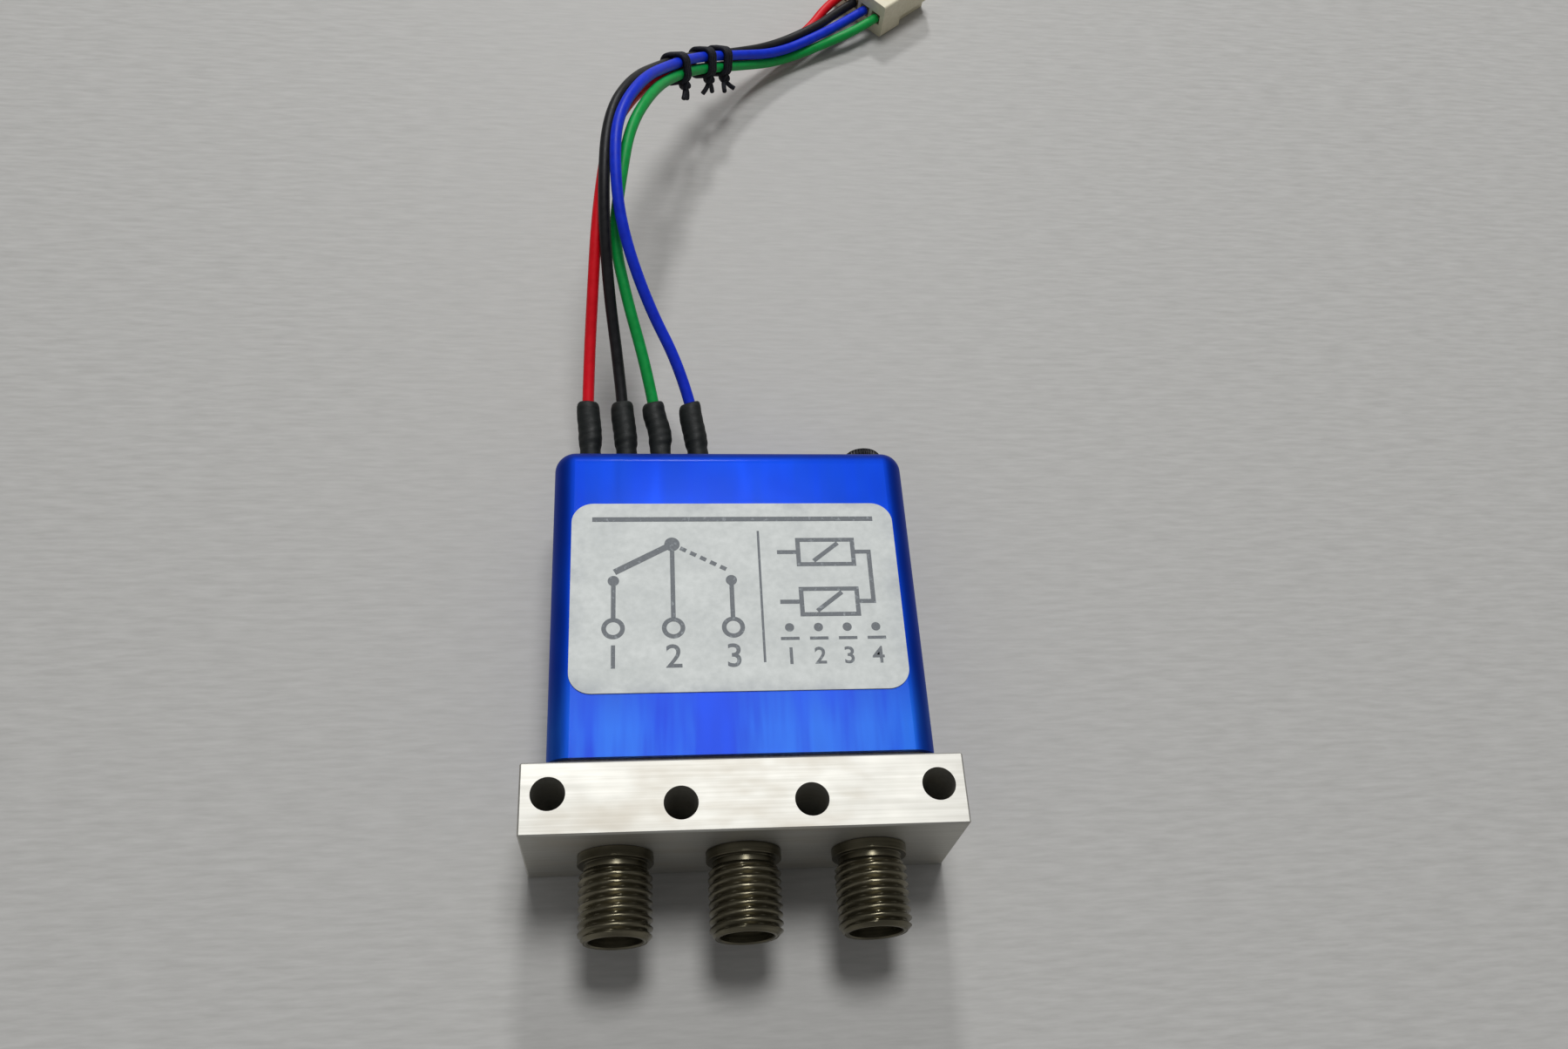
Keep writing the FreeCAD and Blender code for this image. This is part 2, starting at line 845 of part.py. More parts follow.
def make_armature():
    body = new_body("rocker_armature")
    half = S.armature_length / 2
    thick = S.armature_thickness / 2
    boss = S.boss_length / 2
    rise = S.boss_thickness / 2
    slope = rise - thick
    sketch = sketch_on(body, "bar", "XY_Plane", -armature_half)
    outline(sketch, [
        (-half, -thick / 2),
        (-half + thick, -thick),
        (-boss - slope, -thick),
        (-boss, -rise),
        (boss, -rise),
        (boss + slope, -thick),
        (half - thick, -thick),
        (half, -thick / 2),
        (half, thick),
        (boss + slope, thick),
        (boss, rise),
        (-boss, rise),
        (-boss - slope, thick),
        (-half, thick),
    ])
    circle(sketch, (0, 0), S.bushing_bore * 0.75)
    pad(body, sketch, 2 * armature_half)
    return place_rocker(body)


def make_bushing():
    """Shouldered sleeve through the armature that runs on the pivot pin."""
    body = new_body("rocker_bushing")
    bore = S.pivot_bore / 2 + S.pivot_gap
    neck = S.bushing_bore * 0.75 / 2
    sketch = sketch_on(body, "profile", "XZ_Plane")
    outline(sketch, [
        (bore, -bushing_end),
        (S.bushing_bore / 2, -bushing_end),
        (S.bushing_bore / 2, -armature_half),
        (neck, -armature_half),
        (neck, armature_half),
        (S.bushing_bore / 2, armature_half),
        (S.bushing_bore / 2, bushing_end),
        (bore, bushing_end),
    ])
    revolve(body, sketch)
    return place_rocker(body)


def make_pads():
    """Insulating studs under the armature that press on the rods' heads."""
    low = middle_head_top + S.pad_gap - pivot_y
    seat = -S.armature_thickness / 2
    studs = []
    axis, angle = AXIS_TURN["y"]
    for side in (-1, 1):
        stud = doc.addObject("Part::Cone", f"rocker_stud_{side + 2}")
        bind(stud, "Radius1", S.pad_tip / 2)
        bind(stud, "Radius2", S.pad_bore / 2)
        bind(stud, "Height", seat - low)
        studs.append(place(stud, side * half_pitch, low, 0.0, axis, angle))
    return place_rocker(group("rocker_pads", studs))


def make_pivot_pin():
    low = leg_low - S.leg_inset / 2
    length = leg_top + S.leg_inset / 2 - low
    return cylinder("pivot_pin", S.pivot_bore, length, (0.0, pivot_y, low), "z")


# Yoke, coils and magnet


def make_yoke():
    """Bent strap: a web behind the coils, two legs to the plate and two feet."""
    body = new_body("yoke_frame")
    half = S.web_width / 2
    sketch = sketch_on(body, "web", "XZ_Plane", -web_start)
    rectangle(sketch, (-half, leg_low), (half, leg_top))
    web = pad(body, sketch, S.web_thickness, flipped=True)
    corners = edges_where(
        web.Shape, lambda middle, along: abs(along.y) > 0.99
    )
    dress(body, "Fillet", web, corners, "Radius", S.web_thickness / 2)
    leg = S.leg_width / 2
    foot = S.plate_screw_across / 2 + S.foot_margin
    for name, low, high, foot_low, foot_high in (
        ("low", leg_low, leg_low + S.leg_thickness, leg_low, leg_low + S.foot_breadth),
        ("top", leg_top - S.leg_thickness, leg_top, leg_top - S.foot_breadth, leg_top),
    ):
        sketch = sketch_on(body, f"leg_{name}", "XZ_Plane", -plate_back)
        rectangle(sketch, (-leg, low), (leg, high))
        pad(body, sketch, web_start - plate_back + S.web_thickness / 2, flipped=True)
        sketch = sketch_on(body, f"foot_{name}", "XZ_Plane", -plate_back)
        rectangle(sketch, (-foot, foot_low), (foot, foot_high))
        pad(body, sketch, S.foot_thickness, flipped=True)
    sketch = sketch_on(body, "screw_holes", "XZ_Plane", -(plate_back + S.foot_thickness))
    for x, z in plate_screw_places():
        circle(sketch, (x, z), S.plate_screw_bore)
    pocket(body, sketch, S.foot_thickness, flipped=True)
    sketch = sketch_on(body, "web_holes", "XZ_Plane", -web_back)
    for side in (-1, 1):
        circle(sketch, (side * coil_place, mid), S.core_bore)
        circle(sketch, (S.board_screw_place, mid + side * S.board_screw_up / 2),
               S.board_screw_bore)
    pocket(body, sketch, S.web_thickness, flipped=True)
    sketch = sketch_on(body, "pivot_holes", "XY_Plane", leg_top)
    circle(sketch, (0, pivot_y), S.pivot_bore)
    pocket(body, sketch, leg_top - leg_low)
    return body


def make_core(number, side):
    """Pole piece through the bobbin, riveted behind the web."""
    body = new_body(f"coil_core_{number}")
    rim = S.core_bore / 2
    tail = web_back + S.core_tail
    sketch = sketch_on(body, "profile", "XY_Plane")
    outline(sketch, [
        (0, pole_face),
        (rim - S.core_tail / 2, pole_face),
        (rim, pole_face + S.core_tail / 2),
        (rim, web_back),
        (rim + S.core_tail, web_back),
        (rim, tail),
        (0, tail),
    ])
    revolve(body, sketch)
    return place(body, x=side * coil_place, z=mid)


def make_bobbin(number, side):
    body = new_body(f"coil_bobbin_{number}")
    bore = S.core_bore / 2 + S.core_fit
    end = bobbin_start + S.bobbin_length
    rise = S.bobbin_flange_rise
    sketch = sketch_on(body, "profile", "XY_Plane")
    outline(sketch, [
        (bore, bobbin_start),
        (S.bobbin_flange / 2, bobbin_start),
        (S.bobbin_flange / 2, bobbin_start + rise),
        (S.bobbin_tube / 2, bobbin_start + rise),
        (S.bobbin_tube / 2, end - rise),
        (S.bobbin_flange / 2, end - rise),
        (S.bobbin_flange / 2, end),
        (bore, end),
    ])
    revolve(body, sketch)
    pin_x = side * (S.pin_across / 2 - coil_place)
    sketch = sketch_on(body, "pin_holes", "XZ_Plane", -end)
    for up in (-1, 1):
        circle(sketch, (pin_x, up * S.pin_up / 2), S.pin_wire)
    pocket(body, sketch, rise / 2, flipped=True)
    return place(body, x=side * coil_place, z=mid)


def make_winding(number, side):
    body = new_body(f"coil_winding_{number}")
    rise = S.bobbin_flange_rise
    sketch = sketch_on(body, "profile", "XY_Plane")
    rectangle(
        sketch,
        (S.bobbin_tube / 2, bobbin_start + rise),
        (S.winding_fill / 2, bobbin_start + S.bobbin_length - rise),
    )
    revolve(body, sketch)
    return place(body, x=side * coil_place, z=mid)


def make_magnet():
    half = S.magnet_width / 2
    near = pivot_y + S.boss_thickness / 2 + S.magnet_gap
    low = leg_low + S.leg_thickness + S.bushing_end_gap
    high = leg_top - S.leg_thickness - S.bushing_end_gap
    return box("latch_magnet", (-half, near, low), (half, web_start, high))


def make_bobbin_pins():
    start = bobbin_start + S.bobbin_length - S.bobbin_flange_rise / 2
    length = board_back - start
    pins = []
    for side in (-1, 1):
        for up in (-1, 1):
            pins.append(cylinder(
                f"bobbin_pin_{side + 2}_{up + 2}", S.pin_wire, length,
                (side * S.pin_across / 2, start, mid + up * S.pin_up / 2),
            ))
    return group("bobbin_pins", pins)


# Driver board


def terminal_places():
    """X of the wires' terminals, from left to right."""
    first = -S.terminal_place - S.terminal_pitch * (WIRE_COUNT - 1) / 2
    return [first + number * S.terminal_pitch for number in range(WIRE_COUNT)]


def make_board():
    body = new_body("driver_board")
    left = -inner_side + S.board_side_gap
    right = post_place - S.post_bore / 2 - S.plate_fit
    low = inner_low + S.board_margin
    high = inner_top - S.board_margin
    sketch = sketch_on(body, "outline", "XZ_Plane", -board_front)
    rectangle(sketch, (left, low), (right, high))
    pad(body, sketch, S.board_thickness, flipped=True)
    sketch = sketch_on(body, "holes", "XZ_Plane", -board_back)
    for x in terminal_places():
        circle(sketch, (x, mid), S.terminal_wire)
    for side in (-1, 1):
        circle(sketch, (S.board_screw_place, mid + side * S.board_screw_up / 2),
               S.board_screw_bore)
        for up in (-1, 1):
            circle(sketch, (side * S.pin_across / 2, mid + up * S.pin_up / 2), S.pin_wire)
    pocket(body, sketch, S.board_thickness, flipped=True)
    return body


def make_chips():
    """One logic chip and two coil drivers on the board's rear."""
    layout = (
        (S.logic_chip_place, mid, S.logic_chip_length, S.logic_chip_breadth),
        (-S.coil_chip_place, mid - S.coil_chip_spacing / 2, S.coil_chip_length,
         S.coil_chip_breadth),
        (-S.coil_chip_place, mid + S.coil_chip_spacing / 2, S.coil_chip_length,
         S.coil_chip_breadth),
    )
    chips = []
    for number, (x, z, wide, high) in enumerate(layout, start=1):
        chips.append(box(
            f"driver_chip_{number}",
            (x - wide / 2, board_back, z - high / 2),
            (x + wide / 2, board_back + S.chip_rise, z + high / 2),
        ))
    return group("driver_chips", chips)


def make_spacers():
    return group("board_spacers", [
        tube(f"board_spacer_{side + 2}", S.spacer_bore, S.board_screw_bore, S.board_standoff,
             (S.board_screw_place, web_back, mid + side * S.board_screw_up / 2))
        for side in (-1, 1)
    ])


def make_board_screws():
    grip = S.board_thickness + S.board_standoff + S.board_screw_grip
    return group("board_screws", [
        pan_screw(f"board_screw_{side + 2}", S.board_screw_place,
                  mid + side * S.board_screw_up / 2, board_back, S.board_screw_bore, grip,
                  S.board_screw_head, S.board_screw_rise)
        for side in (-1, 1)
    ])


# Post, screw and washer that hold the can


def make_post():
    body = new_body("cover_post")
    stub = S.plate_thickness
    sketch = sketch_on(body, "profile", "XY_Plane")
    outline(sketch, [
        (0, plate_back - stub),
        (S.post_stub / 2, plate_back - stub),
        (S.post_stub / 2, plate_back),
        (S.post_bore / 2, plate_back),
        (S.post_bore / 2, can_inside - S.post_lead),
        (S.post_bore / 2 - S.post_lead, can_inside),
        (S.cover_screw_bore / 2, can_inside),
        (S.cover_screw_bore / 2, can_inside - S.cover_screw_grip),
        (0, can_inside - S.cover_screw_grip),
    ])
    revolve(body, sketch)
    return place(body, x=post_place, z=mid)


def make_cover_screw():
    """Cap screw with a rounded head and a six-sided socket."""
    body = new_body("cover_screw")
    seat = can_end + S.washer_thickness
    top = seat + S.cover_screw_rise
    start = can_inside - S.cover_screw_grip * 0.9
    sketch = sketch_on(body, "profile", "XY_Plane")
    outline(sketch, [
        (0, start),
        (S.cover_screw_bore / 2, start),
        (S.cover_screw_bore / 2, seat),
        (S.cover_screw_head / 2, seat),
        (S.cover_screw_head / 2, top),
        (0, top),
    ])
    turned = revolve(body, sketch)
    rim = edges_where(
        turned.Shape, lambda middle, along: abs(middle.y - top.value) < 0.01
    )
    dress(body, "Fillet", turned, rim, "Radius", S.cover_screw_rise / 4)
    sketch = sketch_on(body, "socket", "XZ_Plane", -top)
    across = S.socket_flats / 2
    point = S.socket_flats * (1 / math.sqrt(3))
    outline(sketch, [
        (-point, 0),
        (-point / 2, -across),
        (point / 2, -across),
        (point, 0),
        (point / 2, across),
        (-point / 2, across),
    ])
    pocket(body, sketch, S.socket_sink, flipped=True)
    return place(body, x=post_place, z=mid)


def make_washer():
    """Split lock washer under the screw's head."""
    start = (post_place, can_end, mid)
    ring = tube("cover_washer_ring", S.washer_rim, S.cover_screw_bore, S.washer_thickness, start)
    half = S.washer_split / 2
    gap = box(
        "cover_washer_gap",
        (post_place - half, can_end, mid),
        (post_place + half, can_end + S.washer_thickness, mid + S.washer_rim),
    )
    return cut("cover_washer", ring, gap)


# Terminals and sleeves


def make_terminals():
    start = board_front
    length = can_end + S.terminal_reach - start
    return group("terminal_pins", [
        cylinder(f"terminal_pin_{number}", S.terminal_wire, length, (x, start, mid))
        for number, x in enumerate(terminal_places(), start=1)
    ])


def make_beads():
    start = can_inside - S.bead_rise
    length = S.can_wall + 2 * S.bead_rise
    return group("terminal_beads", [
        tube(f"terminal_bead_{number}", S.bead_bore, S.terminal_wire, length, (x, start, mid))
        for number, x in enumerate(terminal_places(), start=1)
    ])


# Wires: name, and the hand-set points of the route from the sleeve to the plug
ROUTES = {
    "red": [
        (-14.1, 43.9, 7.4), (-14.0, 47.9, 9.0), (-13.6, 54.0, 13.0), (-13.1, 61.5, 17.1),
        (-11.9, 70.0, 19.8), (-9.2, 77.3, 18.6), (-6.2, 85.5, 13.5), (-2.5, 92.8, 8.8),
        (2.6, 98.9, 4.3), (8.7, 103.9, 1.6), (14.1, 109.2, 1.9), (17.0, 113.9, 2.4),
        (19.3, 116.1, 2.4),
    ],
    "black": [
        (-10.6, 43.9, 7.4), (-11.0, 47.9, 8.9), (-12.0, 54.2, 13.6), (-12.5, 61.8, 18.8),
        (-12.1, 70.7, 21.4), (-9.6, 77.9, 20.1), (-6.4, 86.3, 14.7), (-2.6, 93.6, 10.0),
        (2.6, 99.6, 5.6), (8.8, 104.2, 3.1), (15.0, 108.5, 3.0), (18.3, 112.4, 2.5),
        (20.7, 114.6, 2.4),
    ],
    "green": [
        (-7.4, 43.9, 7.4), (-8.2, 47.6, 9.2), (-10.0, 53.2, 12.4), (-11.5, 59.3, 15.6),
        (-10.6, 65.0, 18.6), (-9.7, 70.5, 20.2), (-7.4, 77.0, 19.1), (-5.0, 85.3, 14.0),
        (-1.4, 92.4, 9.3), (3.6, 98.2, 4.9), (9.5, 102.9, 1.7), (16.6, 107.0, 1.8),
        (21.0, 109.5, 2.3), (23.4, 111.6, 2.4),
    ],
    "blue": [
        (-3.6, 43.9, 7.4), (-4.7, 47.4, 9.3), (-7.9, 52.4, 12.9), (-10.6, 58.6, 17.6),
        (-11.3, 64.6, 20.6), (-11.0, 70.4, 21.9), (-8.4, 77.7, 20.4), (-5.2, 86.1, 15.0),
        (-1.5, 93.2, 10.4), (3.6, 98.9, 6.0), (9.6, 103.1, 3.0), (16.0, 107.7, 2.8),
        (19.6, 111.0, 2.4), (22.0, 113.1, 2.4),
    ],
}
ARC_SHARE = 0.45


def cord_path(name, points):
    """Straight runs joined by tangent arcs, each as large as its two runs allow."""
    points = [Vector(*point) for point in points]
    edges = []
    start = points[0]
    radii = []
    for before, point, after in zip(points, points[1:], points[2:]):
        run_in = point - before
        run_out = after - point
        half_turn = run_in.getAngle(run_out) / 2
        setback = ARC_SHARE * min(run_in.Length, run_out.Length)
        radii.append(setback / math.tan(half_turn))
        run_in.normalize()
        run_out.normalize()
        enter = point - run_in * setback
        leave = point + run_out * setback
        edges.append(Part.LineSegment(start, enter).toShape())
        edges.append(tangent_arc(enter, point, leave))
        start = leave
    edges.append(Part.LineSegment(start, points[-1]).toShape())
    wire = Part.Wire(edges)
    print(f"wire_{name}: length {wire.Length:.1f}, radii", [round(value, 1) for value in radii])
    return wire


def make_wire(name, points):
    path = cord_path(name, points)
    radius = S.wire_bore.value / 2
    first = Vector(*points[0])
    heading = Vector(*points[1]) - first
    section = Part.Wire(Part.makeCircle(radius, first, heading))
    solid = path.makePipeShell([section], True, False)
    expected = math.pi * radius ** 2 * path.Length
    if abs(solid.Volume / expected - 1) > 0.02:
        raise ValueError(f"wire_{name} has the wrong volume")
    return coded(f"wire_{name}", solid)


def make_sleeve(name, points, terminal_x):
    """Shrunk sleeve over the solder joint, necked at its middle."""
    begin = Vector(terminal_x.value, can_end.value + S.bead_rise.value, mid.value)
    end = Vector(*points[0])
    heading = end - Vector(*points[1])
    heading.normalize()
    radius = S.sleeve_bore.value / 2
    stations = (
        (0.0, 0.96), (0.22, 1.0), (0.45, 0.86), (0.62, 0.93), (0.8, 1.0), (1.0, 0.98)
    )
    span = (end - begin).Length
    sections = []
    for share, swell in stations:
        bend = share * share * (3 - 2 * share)
        along = Vector(0, 1, 0) * (1 - share) - heading * share
        centre = begin + Vector(
            (end.x - begin.x) * bend,
            (end.y - begin.y) * share,
            (end.z - begin.z) * share * share,
        )
        if share == 1.0:
            centre = end
        sections.append(Part.Wire(Part.makeCircle(radius * swell, centre, along)))
    solid = Part.makeLoft(sections, True, False)
    pin = Part.makeCylinder(
        S.terminal_wire.value / 2,
        (S.terminal_reach - S.bead_rise).value,
        begin,
        Vector(0, 1, 0),
    )
    if span <= S.terminal_reach.value:
        raise ValueError("the terminal is longer than its sleeve")
    return coded(f"sleeve_{name}", solid.cut(pin))


# Ties: where each one is knotted round the four wires, and the way they run there
TIES = (
    ((-4.34, 88.44, 12.59), (0.383, 0.776, -0.502)),
    ((-0.89, 94.19, 8.71), (0.524, 0.691, -0.497)),
    ((1.3, 96.82, 6.76), (0.589, 0.65, -0.48)),
)
KNOT_ANGLE = math.radians(57)
TAIL_ANGLE = math.radians(29)


def make_tie(number, centre, heading):
    """Turns of lacing cord round the bundle, as one band, with a knot and two tails."""
    cord = S.tie_cord.value
    breadth = S.tie_turns.value * cord
    inner = (1 + math.sqrt(2)) * S.wire_bore.value / 2 + S.tie_slack.value
    outer = inner + cord
    centre = Vector(*centre)
    heading = Vector(*heading)
    heading.normalize()
    out = heading.cross(Vector(0, 0, 1))
    out.normalize()
    down = heading.cross(out)
    down.normalize()
    start = centre - heading * (breadth / 2)
    solid = Part.makeCylinder(outer, breadth, start, heading)
    solid = solid.cut(Part.makeCylinder(inner, breadth, start, heading))
    knot_way = out * math.cos(KNOT_ANGLE) + down * math.sin(KNOT_ANGLE)
    knot = centre + knot_way * outer
    length = S.tie_knot_length.value
    lump = Part.makeCylinder(S.tie_knot.value / 2, length, knot - heading * (length / 2), heading)
    solid = solid.fuse(lump)
    for side in (-1, 1):
        way = knot_way * math.cos(TAIL_ANGLE) + heading * (math.sin(TAIL_ANGLE) * side)
        solid = solid.fuse(Part.makeCylinder(cord / 2, S.tie_tail.value, knot, way))
    return coded(f"lacing_tie_{number}", solid.removeSplitter())


# Plug


def plug_width():
    return 2 * S.plug_end_wall + (WIRE_COUNT - 1) * S.plug_pitch


def place_plug(item):
    return place(
        item, S.plug_corner_across, S.plug_corner_along, 0.0, Vector(0, 0, 1),
        S.plug_turn.value,
    )


def cavity_places():
    return [S.plug_end_wall + number * S.plug_pitch for number in range(WIRE_COUNT)]


def make_plug_housing():
    """Moulded housing: its rear face takes the wires, the front the mating pins."""
    body = new_body("plug_housing")
    middle = S.plug_height / 2
    half = S.plug_cavity / 2
    sketch = sketch_on(body, "block", "XY_Plane")
    rectangle(sketch, (0, 0), (S.plug_length, plug_width()))
    block = pad(body, sketch, S.plug_height)
    rounded = edges_where(
        block.Shape, lambda middle_point, along: abs(along.x) > 0.99
    )
    dress(body, "Fillet", block, rounded, "Radius", S.plug_height / 16)
    sketch = sketch_on(body, "cavities", "YZ_Plane", S.plug_length)
    for place_along in cavity_places():
        rectangle(
            sketch,
            (place_along - half, middle - half),
            (place_along + half, middle + half),
        )
    pocket(body, sketch, S.plug_length)
    sketch = sketch_on(body, "windows", "XY_Plane", S.plug_height)
    for place_along in cavity_places():
        rectangle(
            sketch,
            (S.plug_length * 0.55, place_along - half * 0.7),
            (S.plug_length * 0.8, place_along + half * 0.7),
        )
    pocket(body, sketch, middle)
    sketch = sketch_on(body, "front_step", "YZ_Plane", S.plug_length)
    for side in (0, 1):
        near = side * (plug_width() - S.plug_end_wall / 2) if side else 0
        far = plug_width() if side else S.plug_end_wall / 2
        rectangle(sketch, (near, 0), (far, S.plug_height / 3))
    pocket(body, sketch, S.plug_length * 0.6)
    return place_plug(body)


def make_plug_contacts():
    """Crimped receptacles that stand clear inside the cavities."""
    side = S.plug_cavity * 0.8
    low = S.plug_height / 2 - side / 2
    pieces = []
    for number, y in enumerate(cavity_places(), start=1):
        shell = box(
            f"plug_contact_shell_{number}",
            (S.plug_length * 0.25, y - side / 2, low),
            (S.plug_length * 0.95, y + side / 2, low + side),
        )
        bore = box(
            f"plug_contact_bore_{number}",
            (S.plug_length * 0.6, y - side / 4, low + side / 4),
            (S.plug_length, y + side / 4, low + side * 0.75),
        )
        pieces.append(cut(f"plug_contact_{number}", shell, bore))
    return place_plug(group("plug_contacts", pieces))


def make_all():
    """Every sub-part, in the order in which the switch goes together."""
    parts = [make_connector_body(), make_channel_plate(), make_plate_screws()]
    for number, step in enumerate((-1, 0, 1), start=1):
        parts.append(make_port_shell(number, step))
        parts.append(make_port_dielectric(number, step))
        parts.append(make_port_contact(number, step))
    parts += [make_yoke(), make_pivot_pin(), make_armature(), make_bushing(), make_pads()]
    parts += [make_magnet(), make_bobbin_pins()]
    for number, side in enumerate((-1, 1), start=1):
        parts.append(make_reed(number, side))
        parts.append(make_pushrod(number, side))
        parts.append(make_spring(number, side))
        parts.append(make_core(number, side))
        parts.append(make_bobbin(number, side))
        parts.append(make_winding(number, side))
    parts += [make_board(), make_chips(), make_spacers(), make_board_screws()]
    parts += [make_post(), make_cover_screw(), make_washer(), make_can(), make_label()]
    parts += [make_terminals(), make_beads()]
    for (name, points), terminal_x in zip(ROUTES.items(), terminal_places()):
        parts.append(make_sleeve(name, points, terminal_x))
        parts.append(make_wire(name, points))
    for number, (centre, heading) in enumerate(TIES, start=1):
        parts.append(make_tie(number, centre, heading))
    parts += [make_plug_housing(), make_plug_contacts()]
    return parts


def check_document(parts):
    """Stop before anything is written if an object failed."""
    for item in doc.Objects:
        if "Invalid" in item.State or "Error" in item.State:
            raise ValueError(f"{item.Name} did not recompute: {item.State}")
    for item in parts:
        if item.Shape.isNull() or not item.Shape.isValid() or not item.Shape.Solids:
            raise ValueError(f"{item.Name} has no valid solid")


def write_parts(parts):
    os.makedirs("parts", exist_ok=True)
    for item in parts:
        item.Label = item.Name
        item.Shape.exportStep(f"parts/{item.Label}.step")
        print(item.Label, len(item.Shape.Solids), round(item.Shape.Volume, 2))


switch_parts = make_all()
doc.recompute()
check_document(switch_parts)
write_parts(switch_parts)
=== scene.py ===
import json
import math
import random

import bmesh
import bpy
from mathutils import Matrix, Vector


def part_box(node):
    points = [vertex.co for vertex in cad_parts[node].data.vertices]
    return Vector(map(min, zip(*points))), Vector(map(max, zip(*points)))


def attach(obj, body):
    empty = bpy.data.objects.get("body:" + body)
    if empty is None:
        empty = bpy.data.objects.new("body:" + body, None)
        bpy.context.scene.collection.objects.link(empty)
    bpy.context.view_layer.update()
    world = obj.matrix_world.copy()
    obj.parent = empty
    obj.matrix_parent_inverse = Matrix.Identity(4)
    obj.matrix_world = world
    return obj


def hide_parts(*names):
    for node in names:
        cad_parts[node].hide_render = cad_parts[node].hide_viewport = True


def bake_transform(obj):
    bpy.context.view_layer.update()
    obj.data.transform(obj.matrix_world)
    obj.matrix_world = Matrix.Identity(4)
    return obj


# Looks of the coaxial antenna switch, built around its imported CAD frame.
# Metres. X runs along the row of ports, +Y towards the wires and +Z up.

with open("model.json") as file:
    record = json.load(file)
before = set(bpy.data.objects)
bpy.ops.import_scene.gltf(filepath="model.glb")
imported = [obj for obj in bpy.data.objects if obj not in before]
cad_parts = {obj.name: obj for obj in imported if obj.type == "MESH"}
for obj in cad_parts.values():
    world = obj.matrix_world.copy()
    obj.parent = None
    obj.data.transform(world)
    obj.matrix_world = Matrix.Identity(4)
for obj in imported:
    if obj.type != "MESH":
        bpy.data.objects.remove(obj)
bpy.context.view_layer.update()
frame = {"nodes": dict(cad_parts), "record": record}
chance = random.Random(7)

# Measures that several pieces share

MM = 0.001
HOUSING = "housing"
ACROSS = Vector((1, 0, 0))
ALONG = Vector((0, 1, 0))
UP = Vector((0, 0, 1))
MIDDLE_Z = 6.35 * MM
WIRE_RADIUS = 0.6 * MM
LABEL_TOP = 12.7 * MM
LABEL_Y = 18.9 * MM


# Node materials


class Finish:
    """A material made of nodes; every pattern is read in the object's own space."""

    def __init__(self, name, **sockets):
        self.material = bpy.data.materials.new(name)
        self.material.use_nodes = True
        self.tree = self.material.node_tree
        self.shader = self.tree.nodes["Principled BSDF"]
        self.place = self.tree.nodes.new("ShaderNodeTexCoord").outputs["Object"]
        for label, value in sockets.items():
            self.shader.inputs[label.replace("_", " ")].default_value = value

    def node(self, kind, **values):
        item = self.tree.nodes.new("ShaderNode" + kind)
        for key, value in values.items():
            setattr(item, key, value)
        return item

    def link(self, source, target):
        self.tree.links.new(source, target)

    def stretched(self, scale):
        """The place on the object, with its three axes scaled."""
        mapping = self.node("Mapping")
        mapping.inputs["Scale"].default_value = scale
        self.link(self.place, mapping.inputs["Vector"])
        return mapping.outputs["Vector"]

    def noise(self, scale, detail=3.0, rough=0.55):
        """Noise whose three scales are given per metre."""
        item = self.node("TexNoise")
        item.inputs["Scale"].default_value = 1.0
        item.inputs["Detail"].default_value = detail
        item.inputs["Roughness"].default_value = rough
        self.link(self.stretched(scale), item.inputs["Vector"])
        return item.outputs["Fac"]

    def cells(self, scale):
        """Distance from the middle of scattered cells."""
        item = self.node("TexVoronoi")
        item.inputs["Scale"].default_value = 1.0
        self.link(self.stretched(scale), item.inputs["Vector"])
        return item.outputs["Distance"]

    def spread(self, source, low, high, start=0.0, stop=1.0):
        """Map a value from low..high to start..stop."""
        item = self.node("MapRange")
        for label, value in zip(("From Min", "From Max", "To Min", "To Max"),
                                (low, high, start, stop)):
            item.inputs[label].default_value = value
        self.link(source, item.inputs["Value"])
        return item.outputs["Result"]

    def calculate(self, operation, first, second=0.0):
        """One step of arithmetic on numbers or sockets."""
        item = self.node("Math", operation=operation)
        for socket, value in zip(item.inputs, (first, second)):
            if isinstance(value, (int, float)):
                socket.default_value = value
            else:
                self.link(value, socket)
        return item.outputs["Value"]

    def axis(self, letter):
        item = self.node("SeparateXYZ")
        self.link(self.place, item.inputs["Vector"])
        return item.outputs[letter]

    def distance(self):
        """How far a place is from the object's own origin."""
        item = self.node("VectorMath", operation="LENGTH")
        self.link(self.place, item.inputs[0])
        return item.outputs["Value"]

    def blend(self, share, first, second):
        """Mix two colours, each a tuple or a socket."""
        item = self.node("Mix", data_type="RGBA")
        self.link(share, item.inputs["Factor"])
        for socket, value in zip((item.inputs[6], item.inputs[7]), (first, second)):
            if isinstance(value, tuple):
                socket.default_value = (*value, 1.0)
            else:
                self.link(value, socket)
        return item.outputs[2]

    def colour(self, source):
        self.link(source, self.shader.inputs["Base Color"])

    def roughness(self, source):
        self.link(source, self.shader.inputs["Roughness"])

    def bump(self, height, distance, strength):
        """Raise the surface by a height pattern."""
        item = self.node("Bump")
        item.inputs["Strength"].default_value = strength
        item.inputs["Distance"].default_value = distance
        self.link(height, item.inputs["Height"])
        self.link(item.outputs["Normal"], self.shader.inputs["Normal"])


def nickel_bar():
    """Satin nickel, ground along X, with smudges."""
    finish = Finish("nickel_bar", Metallic=0.9)
    grain = finish.noise((70, 4200, 4200), 4, 0.6)
    smudge = finish.noise((130, 260, 260), 3)
    lines = finish.spread(grain, 0.35, 0.65)
    base = finish.blend(lines, (0.47, 0.462, 0.425), (0.54, 0.532, 0.495))
    worn = finish.spread(smudge, 0.5, 0.8, 0, 0.5)
    finish.colour(finish.blend(worn, base, (0.46, 0.4, 0.31)))
    finish.roughness(finish.spread(smudge, 0.3, 0.7, 0.5, 0.58))
    finish.bump(grain, 0.02 * MM, 0.16)
    return finish.material


# Scales of the grain of metal rolled or turned about Y

